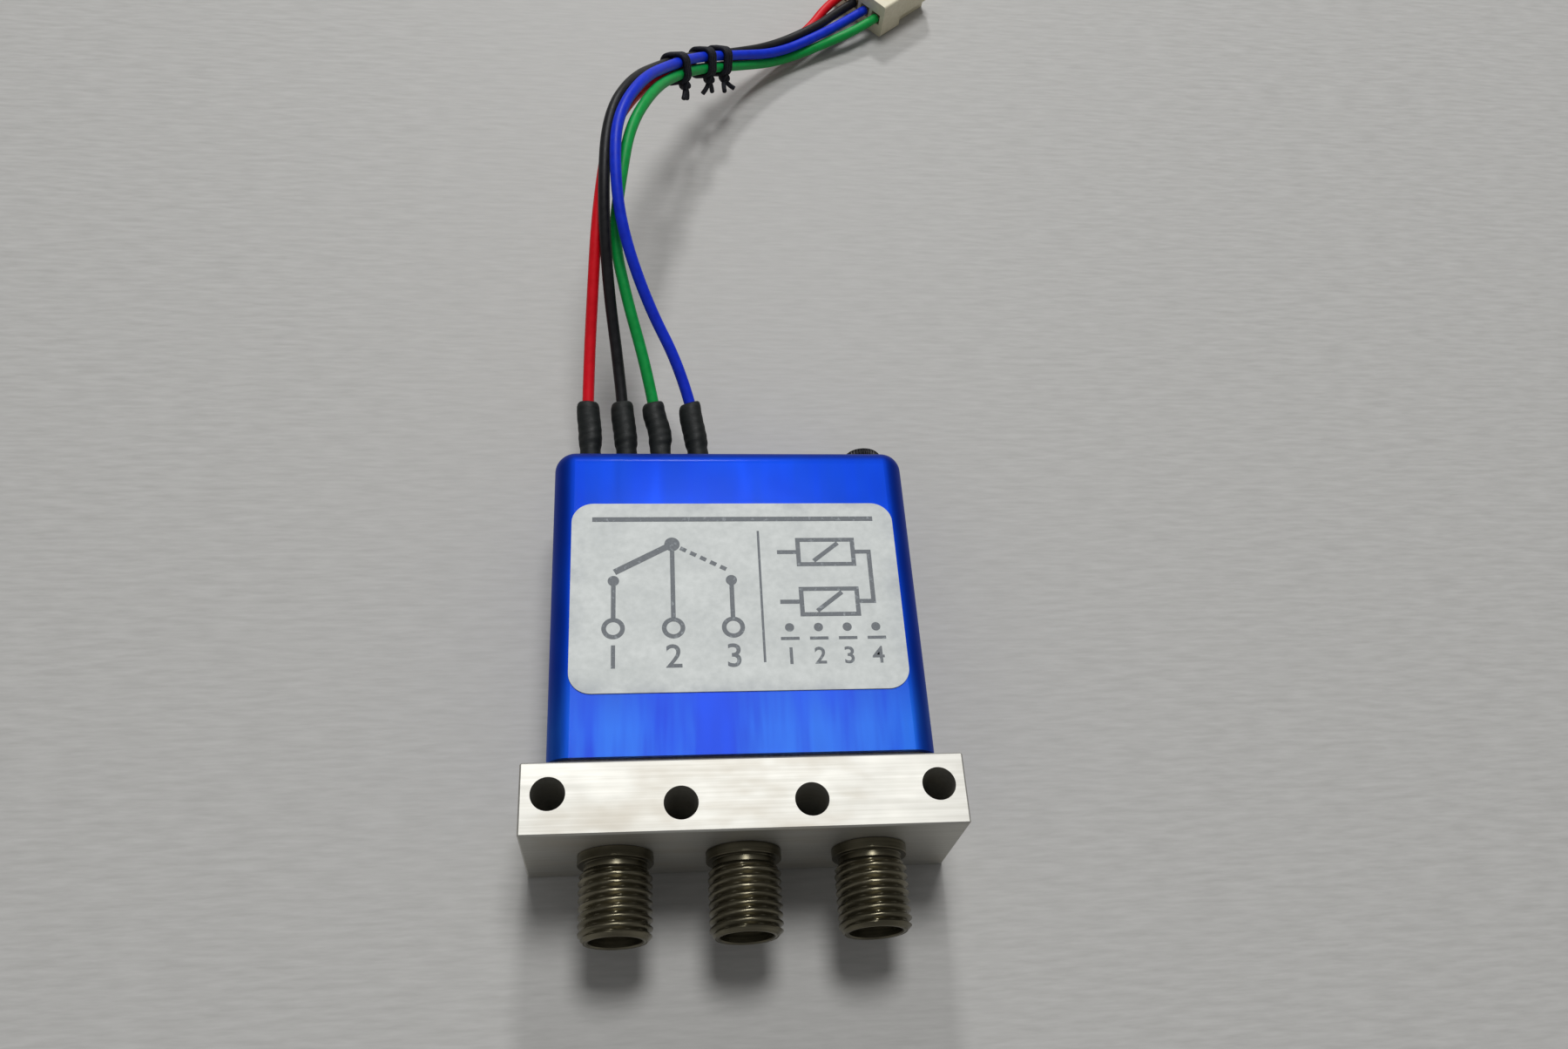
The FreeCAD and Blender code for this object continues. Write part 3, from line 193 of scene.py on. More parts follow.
ROLLED = (3000, 60, 3000)
TURNED = (60, 3000, 60)


def steel(name, dark, light, rough=0.34, grain=ROLLED):
    """Metal with grain and a few stains."""
    finish = Finish(name, Metallic=0.95)
    lines = finish.noise(grain, 3)
    stain = finish.noise((420, 420, 420), 3)
    base = finish.blend(finish.spread(lines, 0.35, 0.65), dark, light)
    tint = tuple(0.6 * value for value in dark)
    finish.colour(finish.blend(finish.spread(stain, 0.55, 0.75, 0, 0.45), base, tint))
    finish.roughness(finish.spread(stain, 0.3, 0.7, rough, rough + 0.16))
    finish.bump(lines, 0.01 * MM, 0.25)
    return finish.material


# Where the streaks on the can have faded, and where they are full

STREAKS_Y = (12 * MM, 6 * MM)


def blue_anodise():
    """Dyed satin anodise over a drawn can: soft streaks near the bar, small scuffs."""
    finish = Finish("blue_anodise", Metallic=0.95, Coat_Weight=0.05, Coat_Roughness=0.14)
    streak = finish.noise((330, 30, 220), 3, 0.6)
    cloud = finish.spread(finish.noise((130, 130, 130), 2), 0.3, 0.7)
    near_bar = finish.spread(finish.axis("Y"), *STREAKS_Y, 0.1, 1.0)
    deep = finish.blend(cloud, (0.0004, 0.028, 0.34), (0.0008, 0.04, 0.43))
    pale = finish.calculate("MULTIPLY", finish.spread(streak, 0.42, 0.62), near_bar)
    base = finish.blend(pale, deep, (0.012, 0.11, 0.53))
    spot = finish.spread(finish.cells((310, 240, 310)), 0.035, 0.06, 1.0, 0.0)
    rare = finish.spread(finish.noise((70, 70, 70), 1), 0.58, 0.62)
    scuff = finish.calculate("MULTIPLY", spot, rare)
    finish.colour(finish.blend(scuff, base, (0.2, 0.26, 0.5)))
    finish.roughness(finish.spread(streak, 0.3, 0.7, 0.5, 0.6))
    finish.bump(finish.noise((2600, 900, 2600), 2), 0.01 * MM, 0.3)
    return finish.material


# From the label's middle, where its dirty rim starts and where it ends

DIRTY_X = (13.6 * MM, 15.3 * MM)
DIRTY_Y = (8.2 * MM, 9.7 * MM)


def label_vinyl():
    """Off-white vinyl, dirty near its rim."""
    finish = Finish("label", Specular_IOR_Level=0.4)
    fibre = finish.noise((1500, 1500, 1500), 4)
    dirt = finish.noise((260, 330, 260), 4, 0.65)
    across = finish.calculate("ABSOLUTE", finish.axis("X"))
    along = finish.calculate("ABSOLUTE", finish.calculate("SUBTRACT", finish.axis("Y"), LABEL_Y))
    rim = finish.calculate("MAXIMUM", finish.spread(across, *DIRTY_X),
                           finish.spread(along, *DIRTY_Y))
    base = finish.blend(finish.spread(fibre, 0.35, 0.65), (0.565, 0.595, 0.58),
                        (0.63, 0.66, 0.645))
    amount = finish.calculate("ADD", finish.calculate("MULTIPLY", rim, 0.7), 0.12)
    share = finish.calculate("MULTIPLY", finish.spread(dirt, 0.42, 0.72, 0.1, 0.8), amount)
    finish.colour(finish.blend(share, base, (0.33, 0.36, 0.4)))
    finish.roughness(finish.spread(dirt, 0.3, 0.7, 0.42, 0.6))
    finish.bump(fibre, 0.01 * MM, 0.25)
    return finish.material


def label_ink():
    """Grey print, thin in places."""
    finish = Finish("label_ink")
    wear = finish.noise((2300, 2300, 2300), 4, 0.7)
    thin = finish.spread(wear, 0.55, 0.72)
    finish.colour(finish.blend(thin, (0.13, 0.145, 0.16), (0.36, 0.39, 0.41)))
    finish.roughness(finish.spread(wear, 0.3, 0.7, 0.5, 0.7))
    return finish.material


def plastic(name, dark, light, rough=0.35, speck=1800, gloss=0.5):
    """Moulded or extruded plastic with slight mottling."""
    finish = Finish(name, Specular_IOR_Level=gloss)
    mottle = finish.noise((speck, speck, speck), 3)
    drift = finish.noise((120, 120, 120), 2)
    share = finish.calculate("MULTIPLY", finish.calculate("ADD", mottle, drift), 0.5)
    finish.colour(finish.blend(finish.spread(share, 0.35, 0.65), dark, light))
    finish.roughness(finish.spread(mottle, 0.3, 0.7, rough, rough + 0.14))
    finish.bump(mottle, 0.012 * MM, 0.25)
    return finish.material


def wire_coat(name, dark, light):
    """Extruded insulation of a lead."""
    return plastic(name, dark, light, rough=0.4, speck=1200, gloss=0.28)


def shrunk_sleeve():
    """Matt black tubing with fine rings and dust."""
    finish = Finish("sleeve", Specular_IOR_Level=0.3)
    wrinkle = finish.noise((700, 2600, 700), 4, 0.65)
    dust = finish.noise((1300, 1300, 1300), 4, 0.7)
    base = finish.blend(finish.spread(wrinkle, 0.3, 0.7), (0.003, 0.0045, 0.004),
                        (0.009, 0.0115, 0.011))
    dusty = finish.spread(dust, 0.58, 0.78, 0, 0.4)
    finish.colour(finish.blend(dusty, base, (0.035, 0.038, 0.036)))
    finish.roughness(finish.spread(dust, 0.3, 0.7, 0.5, 0.72))
    finish.bump(wrinkle, 0.05 * MM, 0.6)
    return finish.material


def lacing():
    """Waxed braid, nearly black."""
    finish = Finish("lacing", Specular_IOR_Level=0.25)
    weave = finish.noise((6200, 6200, 6200), 2)
    strand = finish.spread(weave, 0.4, 0.6)
    finish.colour(finish.blend(strand, (0.003, 0.003, 0.006), (0.014, 0.015, 0.024)))
    finish.roughness(finish.spread(weave, 0.3, 0.7, 0.5, 0.75))
    finish.bump(weave, 0.06 * MM, 0.8)
    return finish.material


def copper_winding():
    """Enamelled wire laid in turns along the bobbin, with painted shade in the grooves between
    turns.
    """
    finish = Finish("copper_wire", Metallic=0.8)
    turns = finish.node("TexWave", wave_type="BANDS", bands_direction="Y")
    turns.inputs["Scale"].default_value = 1.0
    turns.inputs["Distortion"].default_value = 0.4
    finish.link(finish.stretched((1, 1150, 1)), turns.inputs["Vector"])
    rows = turns.outputs["Fac"]
    # Painted shade: the colour goes dark in the grooves between turns, where the bump dips, and
    # copper-bright on the crests.
    finish.colour(finish.blend(rows, (0.22, 0.06, 0.015), (0.62, 0.25, 0.09)))
    finish.roughness(finish.spread(rows, 0, 1, 0.5, 0.28))
    finish.bump(rows, 0.06 * MM, 0.9)
    return finish.material


def circuit_board():
    """Green laminate with tracks under its lacquer."""
    finish = Finish("board", Coat_Weight=0.4)
    tracks = finish.noise((900, 900, 140), 1)
    edge = finish.spread(tracks, 0.5, 0.53)
    finish.colour(finish.blend(edge, (0.008, 0.09, 0.03), (0.02, 0.17, 0.06)))
    finish.roughness(finish.spread(tracks, 0.3, 0.7, 0.3, 0.42))
    finish.bump(tracks, 0.03 * MM, 0.4)
    return finish.material


# From the origin, where the floor starts to pale and where it is palest

FAR_FLOOR = (0.4, 1.8)


def table_top():
    """Pale grey floor with a faint grain along X, paler far off, where it meets the world."""
    finish = Finish("table", Specular_IOR_Level=0.25)
    grain = finish.noise((260, 1900, 1), 3, 0.6)
    near = finish.blend(finish.spread(grain, 0.3, 0.7), (0.42, 0.415, 0.4), (0.49, 0.485, 0.47))
    far_off = finish.spread(finish.distance(), *FAR_FLOOR)
    finish.colour(finish.blend(far_off, near, (0.96, 0.96, 0.96)))
    finish.roughness(finish.spread(grain, 0.3, 0.7, 0.5, 0.62))
    finish.bump(grain, 0.02 * MM, 0.2)
    return finish.material


INK = label_ink()
MATERIALS = {
    "nickel_bar": nickel_bar(),
    "steel_plate": steel("steel_plate", (0.5, 0.49, 0.46), (0.66, 0.65, 0.61)),
    # Port steel, also used for the springs: partly its own dark olive tone, partly painted shade,
    # as its colours sit well below bare steel.
    "port_steel": steel("port_steel", (0.11, 0.1, 0.068), (0.2, 0.182, 0.128), 0.26, TURNED),
    "blue_anodise": blue_anodise(),
    "label": label_vinyl(),
    "insulator": plastic("insulator", (0.6, 0.6, 0.56), (0.72, 0.72, 0.68), 0.45),
    "gold_contact": steel("gold_contact", (0.72, 0.47, 0.13), (0.86, 0.62, 0.24), 0.25),
    "soft_iron": steel("soft_iron", (0.36, 0.36, 0.35), (0.5, 0.5, 0.49), 0.36),
    "magnet": plastic("magnet", (0.04, 0.04, 0.045), (0.1, 0.1, 0.105), 0.55),
    "copper_wire": copper_winding(),
    "bobbin": plastic("bobbin", (0.03, 0.03, 0.035), (0.06, 0.06, 0.065), 0.45),
    "rod_plastic": plastic("rod_plastic", (0.6, 0.52, 0.36), (0.75, 0.68, 0.52), 0.32),
    "board": circuit_board(),
    "chip": plastic("chip", (0.012, 0.012, 0.014), (0.03, 0.03, 0.033), 0.55),
    "black_screw": steel("black_screw", (0.012, 0.012, 0.014), (0.035, 0.035, 0.037), 0.4, TURNED),
    "bead": plastic("bead", (0.02, 0.02, 0.025), (0.05, 0.05, 0.06), 0.3),
    "sleeve": shrunk_sleeve(),
    "wire_red": wire_coat("wire_red", (0.6, 0.0, 0.006), (0.74, 0.001, 0.012)),
    "wire_black": wire_coat("wire_black", (0.004, 0.004, 0.005), (0.012, 0.012, 0.014)),
    "wire_green": wire_coat("wire_green", (0.0, 0.28, 0.045), (0.001, 0.38, 0.07)),
    "wire_blue": wire_coat("wire_blue", (0.0, 0.02, 0.52), (0.001, 0.035, 0.7)),
    "lacing": lacing(),
    "plug_nylon": plastic("plug_nylon", (0.66, 0.6, 0.42), (0.78, 0.73, 0.56), 0.4),
}

for spec in frame["record"]["subparts"]:
    item = frame["nodes"][spec["node"]]
    item.data.materials.clear()
    item.data.materials.append(MATERIALS[spec["material_slot"]])


# Helpers for pieces


def link(name, data):
    item = bpy.data.objects.new(name, data)
    bpy.context.scene.collection.objects.link(item)
    return item


def dressed(item, slot, body=HOUSING):
    """Give a piece its material and slot, and let it ride on its body, if it has one."""
    item.data.materials.clear()
    item.data.materials.append(MATERIALS[slot])
    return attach(item, body) if body else item


def mesh_piece(name, build, slot, body=HOUSING, smooth=True):
    """A piece whose mesh is built by a function in bmesh."""
    shape = bmesh.new()
    build(shape)
    bmesh.ops.recalc_face_normals(shape, faces=shape.faces)
    data = bpy.data.meshes.new(name)
    shape.to_mesh(data)
    shape.free()
    data.polygons.foreach_set("use_smooth", [smooth] * len(data.polygons))
    return dressed(link(name, data), slot, body)


# How finely the round sections of cords and wires are drawn

CORD_ROUNDNESS = 3
WIRE_ROUNDNESS = 5


def round_curve(name, radius, roundness):
    """An empty curve with a round section and closed ends."""
    data = bpy.data.curves.new(name, "CURVE")
    data.dimensions = "3D"
    data.bevel_depth = radius
    data.bevel_resolution = roundness
    data.use_fill_caps = True
    return data


def curve_piece(name, lines, radius, slot, closed=()):
    """Round cord along lists of points; a line whose number is in closed ends where it starts."""
    data = round_curve(name, radius, CORD_ROUNDNESS)
    for number, line in enumerate(lines):
        spline = data.splines.new("POLY")
        spline.points.add(len(line) - 1)
        for knot, point in zip(spline.points, line):
            knot.co = (*point, 1.0)
        spline.use_cyclic_u = number in closed
        spline.use_smooth = True
    return dressed(link(name, data), slot)


def ring(centre, side, lift, radius, count):
    """Points round a centre; the radius is a number or a function of the angle."""
    points = []
    for index in range(count):
        angle = index / count * math.tau
        reach = radius(angle) if callable(radius) else radius
        points.append(centre + side * reach * math.cos(angle) + lift * reach * math.sin(angle))
    return points


def skin(shape, rings, closed=False):
    """Join rings of points; a closed skin joins its last ring to its first, others get caps."""
    loops = [[shape.verts.new(point) for point in points] for points in rings]
    count = len(loops[0])
    following = loops[1:] + loops[:1] if closed else loops[1:]
    for low, high in zip(loops, following):
        for index in range(count):
            after = (index + 1) % count
            shape.faces.new((low[index], low[after], high[after], high[index]))
    if not closed:
        shape.faces.new(loops[0])
        shape.faces.new(loops[-1])


def eased(share):
    """A share from 0 to 1 that starts and ends slowly."""
    return share * share * (3 - 2 * share)


EDGE_ANGLE = math.radians(38)


def split_edges(item):
    """Keep the item's sharp edges sharp under smooth shading."""
    crease = item.modifiers.new("edges", "EDGE_SPLIT")
    crease.split_angle = EDGE_ANGLE


# Camera: fitted to the photograph

FOCAL_PIXELS = 1494.1
IMAGE_WIDTH = 1800
SENSOR = 36.0
NEAREST = 0.005
FARTHEST = 20.0
EYE = Vector((-9.251, -35.182, 119.12)) * MM
YAW = math.radians(12.846)
PITCH = math.radians(59.395)
ROLL = math.radians(10.884)


def add_camera():
    ahead = Vector((math.sin(YAW) * math.cos(PITCH), math.cos(YAW) * math.cos(PITCH),
                    -math.sin(PITCH)))
    level = Vector((math.cos(YAW), -math.sin(YAW), 0.0))
    upward = level.cross(ahead)
    side = level * math.cos(ROLL) + upward * math.sin(ROLL)
    top = upward * math.cos(ROLL) - level * math.sin(ROLL)
    data = bpy.data.cameras.new("camera")
    data.sensor_fit = "HORIZONTAL"
    data.sensor_width = SENSOR
    data.lens = FOCAL_PIXELS * SENSOR / IMAGE_WIDTH
    data.clip_start = NEAREST
    data.clip_end = FARTHEST
    camera = link("camera", data)
    turn = Matrix((side, top, -ahead)).transposed().to_4x4()
    camera.matrix_world = Matrix.Translation(EYE) @ turn
    bpy.context.scene.camera = camera


add_camera()


# Wires: the same points as the CAD routes, in millimetres

ROUTES = {
    "red": [
        (-14.1, 43.9, 7.4), (-14.0, 47.9, 9.0), (-13.6, 54.0, 13.0), (-13.1, 61.5, 17.1),
        (-11.9, 70.0, 19.8), (-9.2, 77.3, 18.6), (-6.2, 85.5, 13.5), (-2.5, 92.8, 8.8),
        (2.6, 98.9, 4.3), (8.7, 103.9, 1.6), (14.1, 109.2, 1.9), (17.0, 113.9, 2.4),
        (19.3, 116.1, 2.4),
    ],
    "black": [
        (-10.6, 43.9, 7.4), (-11.0, 47.9, 8.9), (-12.0, 54.2, 13.6), (-12.5, 61.8, 18.8),
        (-12.1, 70.7, 21.4), (-9.6, 77.9, 20.1), (-6.4, 86.3, 14.7), (-2.6, 93.6, 10.0),
        (2.6, 99.6, 5.6), (8.8, 104.2, 3.1), (15.0, 108.5, 3.0), (18.3, 112.4, 2.5),
        (20.7, 114.6, 2.4),
    ],
    "green": [
        (-7.4, 43.9, 7.4), (-8.2, 47.6, 9.2), (-10.0, 53.2, 12.4), (-11.5, 59.3, 15.6),
        (-10.6, 65.0, 18.6), (-9.7, 70.5, 20.2), (-7.4, 77.0, 19.1), (-5.0, 85.3, 14.0),
        (-1.4, 92.4, 9.3), (3.6, 98.2, 4.9), (9.5, 102.9, 1.7), (16.6, 107.0, 1.8),
        (21.0, 109.5, 2.3), (23.4, 111.6, 2.4),
    ],
    "blue": [
        (-3.6, 43.9, 7.4), (-4.7, 47.4, 9.3), (-7.9, 52.4, 12.9), (-10.6, 58.6, 17.6),
        (-11.3, 64.6, 20.6), (-11.0, 70.4, 21.9), (-8.4, 77.7, 20.4), (-5.2, 86.1, 15.0),
        (-1.5, 93.2, 10.4), (3.6, 98.9, 6.0), (9.6, 103.1, 3.0), (16.0, 107.7, 2.8),
        (19.6, 111.0, 2.4), (22.0, 113.1, 2.4),
    ],
}


# Steps between two points of a route, as drawn and as measured

WIRE_STEPS = 10
PROBE_STEPS = 16


def route_curve(name, points, radius):
    """A smooth curve with the route's points as its control points."""
    data = round_curve(name, radius, WIRE_ROUNDNESS)
    data.resolution_u = WIRE_STEPS
    spline = data.splines.new("NURBS")
    spline.points.add(len(points) - 1)
    for knot, point in zip(spline.points, points):
        knot.co = (*(value * MM for value in point), 1.0)
    spline.order_u = 3
    spline.use_endpoint_u = True
    return link(name, data)


def centreline(points):
    """Points along the smooth curve, read from the spline itself."""
    probe = route_curve("probe", points, 0.0)
    probe.data.resolution_u = PROBE_STEPS
    bpy.context.view_layer.update()
    line = bpy.data.meshes.new_from_object(probe)
    found = [vertex.co.copy() for vertex in line.vertices]
    bpy.data.meshes.remove(line)
    bpy.data.objects.remove(probe)
    return found


LINES = {name: centreline(points) for name, points in ROUTES.items()}


def add_wire(name):
    wire = dressed(route_curve(f"lead_{name}", ROUTES[name], WIRE_RADIUS), f"wire_{name}")
    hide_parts(f"wire_{name}")
    return wire


WIRES = {name: add_wire(name) for name in ROUTES}


# Shrunk sleeves over the solder joints

SLEEVE_START = 35.275 * MM
TERMINAL_X = {"red": -13.6 * MM, "black": -9.9 * MM, "green": -6.2 * MM, "blue": -2.5 * MM}
# How far each sleeve sways sideways; the green one is kinked
SLEEVE_SWAY = {"red": 0.12 * MM, "black": 0.12 * MM, "green": 0.3 * MM, "blue": 0.12 * MM}
SWAY_SHIFT = 0.05
SLEEVE_STEPS = 64
SLEEVE_POINTS = 48
# Share of the length, radius in millimetres
SLEEVE_PROFILE = (
    (0.0, 1.06), (0.12, 1.09), (0.34, 1.05), (0.4, 1.06), (0.5, 1.19), (0.8, 1.2),
    (0.93, 1.17), (0.975, 1.1), (1.0, 0.92),
)
# Share of the length back from the open end, radius in millimetres
SLEEVE_MOUTH = ((0.0, 0.82), (0.03, 0.66), (0.12, 0.63))
# Depths of two sets of creases, in millimetres
LONG_CREASE = 0.03
FINE_CREASE = 0.018


def profile_at(profile, share):
    """The radius at a share of the length, eased between the profile's points."""
    for (low, first), (high, second) in zip(profile, profile[1:]):
        if share <= high:
            return first + (second - first) * eased((share - low) / (high - low))
    return profile[-1][1]


def creased(share, twist):
    """The sleeve's radius as a function of the angle; its ends have no creases."""
    base = profile_at(SLEEVE_PROFILE, share)

    def radius(angle):
        crease = LONG_CREASE * math.sin(3 * angle + twist + 5 * share)
        crease += FINE_CREASE * math.sin(9 * share * math.tau + 2 * angle + twist)
        return (base + crease * math.sin(math.pi * share)) * MM

    return radius


def build_sleeve(name, shape):
    """A tube from the terminal to the wire's start, turning into the wire's direction."""
    end = LINES[name][0]
    heading = (LINES[name][0] - LINES[name][1]).normalized()
    begin = Vector((TERMINAL_X[name], SLEEVE_START, MIDDLE_Z))
    run = end - begin
    twist = chance.uniform(0.0, math.tau)
    rings = []
    for step in range(SLEEVE_STEPS + 1):
        share = step / SLEEVE_STEPS
        along = (ALONG * (1 - share) - heading * share).normalized()
        wave = math.sin(math.pi * share) ** 2 * math.sin(math.tau * (share + SWAY_SHIFT))
        sway = SLEEVE_SWAY[name] * wave
        centre = begin + Vector((run.x * eased(share) - sway, run.y * share,
                                 run.z * share * share))
        side = along.cross(UP).normalized()
        lift = side.cross(along)
        rings.append(ring(centre, side, lift, creased(share, twist), SLEEVE_POINTS))
    for depth, radius in SLEEVE_MOUTH:
        centre = end + heading * depth * run.length
        rings.append(ring(centre, side, lift, radius * MM, SLEEVE_POINTS))
    skin(shape, rings)


def add_sleeves():
    for name in ROUTES:
        sleeve = mesh_piece(f"shrunk_sleeve_{name}", lambda shape: build_sleeve(name, shape),
                            "sleeve")
        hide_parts(f"sleeve_{name}")


add_sleeves()


# Lacing ties: turns of cord round the four wires, a knot and two tails

CORD_RADIUS = 0.29 * MM
TIE_TURNS = 3
TURN_STEPS = 40
KNOT_ANGLE = math.radians(-57)
KNOT_SIZE = 0.3 * MM
KNOT_STEPS = 60
# How far the knot reaches along the wires, across them and outwards, as shares of its size
KNOT_SHARES = (0.62, 0.5, 0.8)
# Limits of what is drawn by chance for each tail, and how much it bends
TAIL_SPREAD = (0.3, 0.6)
TAIL_CURL = (-0.5, 0.5)
TAIL_LENGTH = (1.35 * MM, 1.75 * MM)
TAIL_BEND = 0.35
TAIL_STEPS = (0.0, 0.25, 0.5, 0.75, 1.0)
# Middle in millimetres and direction of the wires
TIES = (
    ((-4.34, 88.44, 12.59), (0.383, 0.776, -0.502)),
    ((-0.89, 94.19, 8.71), (0.524, 0.691, -0.497)),
    ((1.3, 96.82, 6.76), (0.589, 0.65, -0.48)),
)
# The cord is drawn a little into the wires, and the knot sits on it
WRAP_REACH = WIRE_RADIUS + CORD_RADIUS * 0.92
KNOT_REACH = WRAP_REACH + 1.6 * CORD_RADIUS
# The turns lie a little closer than the cord is thick
WRAP_WIDTH = (TIE_TURNS - 0.4) * 2 * CORD_RADIUS
# Only points of a wire this near to the tie can lie in its plane
TIE_SEARCH = 6 * MM


def crossing(line, centre, heading):
    """Where a wire's centreline passes the plane of a tie."""
    near = [point for point in line if (point - centre).length < TIE_SEARCH]
    return min(near, key=lambda point: abs((point - centre).dot(heading)))


def tight_point(corners, angle, reach):
    """Where a cord drawn tight round the corners lies, in the tie's plane."""
    ray = Vector((math.cos(angle), math.sin(angle)))
    return max(corners, key=lambda corner: corner.dot(ray)) + ray * reach


def knot_loop(knot, heading, across, outward):
    """A trefoil of cord."""
    along, wide, deep = (KNOT_SIZE * share for share in KNOT_SHARES)
    loop = []
    for step in range(KNOT_STEPS):
        angle = step / KNOT_STEPS * math.tau
        loop.append(
            knot
            + heading * along * (math.sin(angle) + 2 * math.sin(2 * angle))
            + across * wide * (math.cos(angle) - 2 * math.cos(2 * angle))
            - outward * deep * math.sin(3 * angle)
        )
    return loop


def loose_tail(knot, heading, across, outward):
    """A short end of cord that leaves the knot and curls."""
    spread = chance.uniform(*TAIL_SPREAD)
    curl = chance.uniform(*TAIL_CURL)
    length = chance.uniform(*TAIL_LENGTH)
    return [
        knot
        + outward * length * share
        + heading * length * share * (spread + TAIL_BEND * share)
        + across * length * curl * share * share
        for share in TAIL_STEPS
    ]


def build_tie(number, centre, heading):
    centre = Vector(centre) * MM
    heading = Vector(heading).normalized()
    out = heading.cross(UP).normalized()
    lift = out.cross(heading)
    spots = [crossing(line, centre, heading) - centre for line in LINES.values()]
    corners = [Vector((spot.dot(out), spot.dot(lift))) for spot in spots]
    wrap = []
    steps = TIE_TURNS * TURN_STEPS
    for step in range(steps + 1):
        point = tight_point(corners, KNOT_ANGLE + step / TURN_STEPS * math.tau, WRAP_REACH)
        slide = (step / steps - 0.5) * WRAP_WIDTH
        wrap.append(centre + out * point.x + lift * point.y + heading * slide)
    point = tight_point(corners, KNOT_ANGLE, KNOT_REACH)
    knot = centre + out * point.x + lift * point.y
    outward = out * math.cos(KNOT_ANGLE) + lift * math.sin(KNOT_ANGLE)
    across = outward.cross(heading)
    loop = knot_loop(knot, heading, across, outward)
    tails = [loose_tail(knot, heading * way, across, outward) for way in (-1, 1)]
    tie = curve_piece(f"lacing_{number}", [wrap, loop, *tails], CORD_RADIUS, "lacing", (1,))
    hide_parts(f"lacing_tie_{number}")
    return tie


for number, (centre, heading) in enumerate(TIES, start=1):
    build_tie(number, centre, heading)


# Ports: shells with a cut thread

PORT_X = (-11.1 * MM, 0.0, 11.1 * MM)
PORT_POINTS = 96
FRONT_FACE = -3.175 * MM
SHELL_BACK = FRONT_FACE + 2.2 * MM
COLLAR_END = FRONT_FACE - 0.9 * MM
RELIEF_END = COLLAR_END - 0.55 * MM
PORT_TIP = -10.575 * MM
BORE_STEP = PORT_TIP + 1.9 * MM
COLLAR_EDGE = 0.06 * MM
RELIEF_EDGE = 0.05 * MM
THREAD_RADIUS = 3.175 * MM
THREAD_PITCH = 25.4 / 36 * MM
THREAD_DEPTH = 0.36 * MM
THREAD_STEPS = 100
# A gain above 1 flattens the crests
CREST_GAIN = 1.25
LEAD_DEPTH = THREAD_DEPTH * 1.3
# Place along Y, radius in millimetres: from the bore's back, over the collar, to the relief
SHELL_PROFILE = (
    (SHELL_BACK, 2.05), (SHELL_BACK, 2.65), (FRONT_FACE, 2.65), (FRONT_FACE, 3.24),
    (FRONT_FACE - COLLAR_EDGE, 3.3), (COLLAR_END + COLLAR_EDGE, 3.3), (COLLAR_END, 3.24),
    (COLLAR_END, 2.8), (COLLAR_END - RELIEF_EDGE, 2.75), (RELIEF_END, 2.75),
)
# The same, from the thread's end into the bore
MOUTH_PROFILE = (
    (PORT_TIP + 0.03 * MM, 2.62), (PORT_TIP, 2.58), (PORT_TIP, 2.4),
    (PORT_TIP + 0.1 * MM, 2.3), (BORE_STEP, 2.3), (BORE_STEP, 2.05),
)


def thread_radius(y, angle):
    """Radius of a cut thread, run out at both ends by a lead chamfer."""
    phase = (y / THREAD_PITCH + angle / math.tau) % 1.0
    wave = 1 - abs(2 * phase - 1)
    cut = THREAD_RADIUS - THREAD_DEPTH * (1 - min(1.0, wave * CREST_GAIN))
    lead = min(y - PORT_TIP, RELIEF_END - y) + THREAD_RADIUS - LEAD_DEPTH
    return min(cut, lead)


def build_port(x, shape):
    def turned(y, radius):
        return ring(Vector((x, y, MIDDLE_Z)), ACROSS, UP, radius, PORT_POINTS)

    rings = [turned(y, radius * MM) for y, radius in SHELL_PROFILE]
    for step in range(THREAD_STEPS + 1):
        y = RELIEF_END + (PORT_TIP - RELIEF_END) * step / THREAD_STEPS
        rings.append(turned(y, lambda angle: thread_radius(y, angle)))
    rings += [turned(y, radius * MM) for y, radius in MOUTH_PROFILE]
    skin(shape, rings, closed=True)


def add_ports():
    for number, x in enumerate(PORT_X, start=1):
        port = mesh_piece(f"threaded_port_{number}", lambda shape: build_port(x, shape),
                          "port_steel")
        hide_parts(f"port_shell_{number}")
        split_edges(port)


add_ports()


# Cap screw that holds the can

HEAD_HEIGHT = 2.3 * MM
HEAD_ROUND = 0.4 * MM
TOP_INSET = 0.15 * MM
KNURLS = 36
KNURL_POINTS = 8
KNURL_DEPTH = 0.07 * MM
# The knurl starts above the head's foot and ends below its top
KNURL_START = 0.2 * MM
KNURL_END = 0.45 * MM
# Height above the head's foot, inset from its rim
HEAD_FOOT = ((0.0, 0.3 * MM), (0.12 * MM, 0.18 * MM))
SHANK_TIP = 0.5 * MM
SHANK_CHAMFER = 0.2 * MM
SHANK_RADIUS = 0.7 * MM
SOCKET_FLATS = 1.5 * MM
SOCKET_EDGE = 0.08 * MM
SOCKET_DEPTH = 1.2 * MM
DRILL_DEPTH = 1.5 * MM
DRILL_TIP = 0.05 * MM


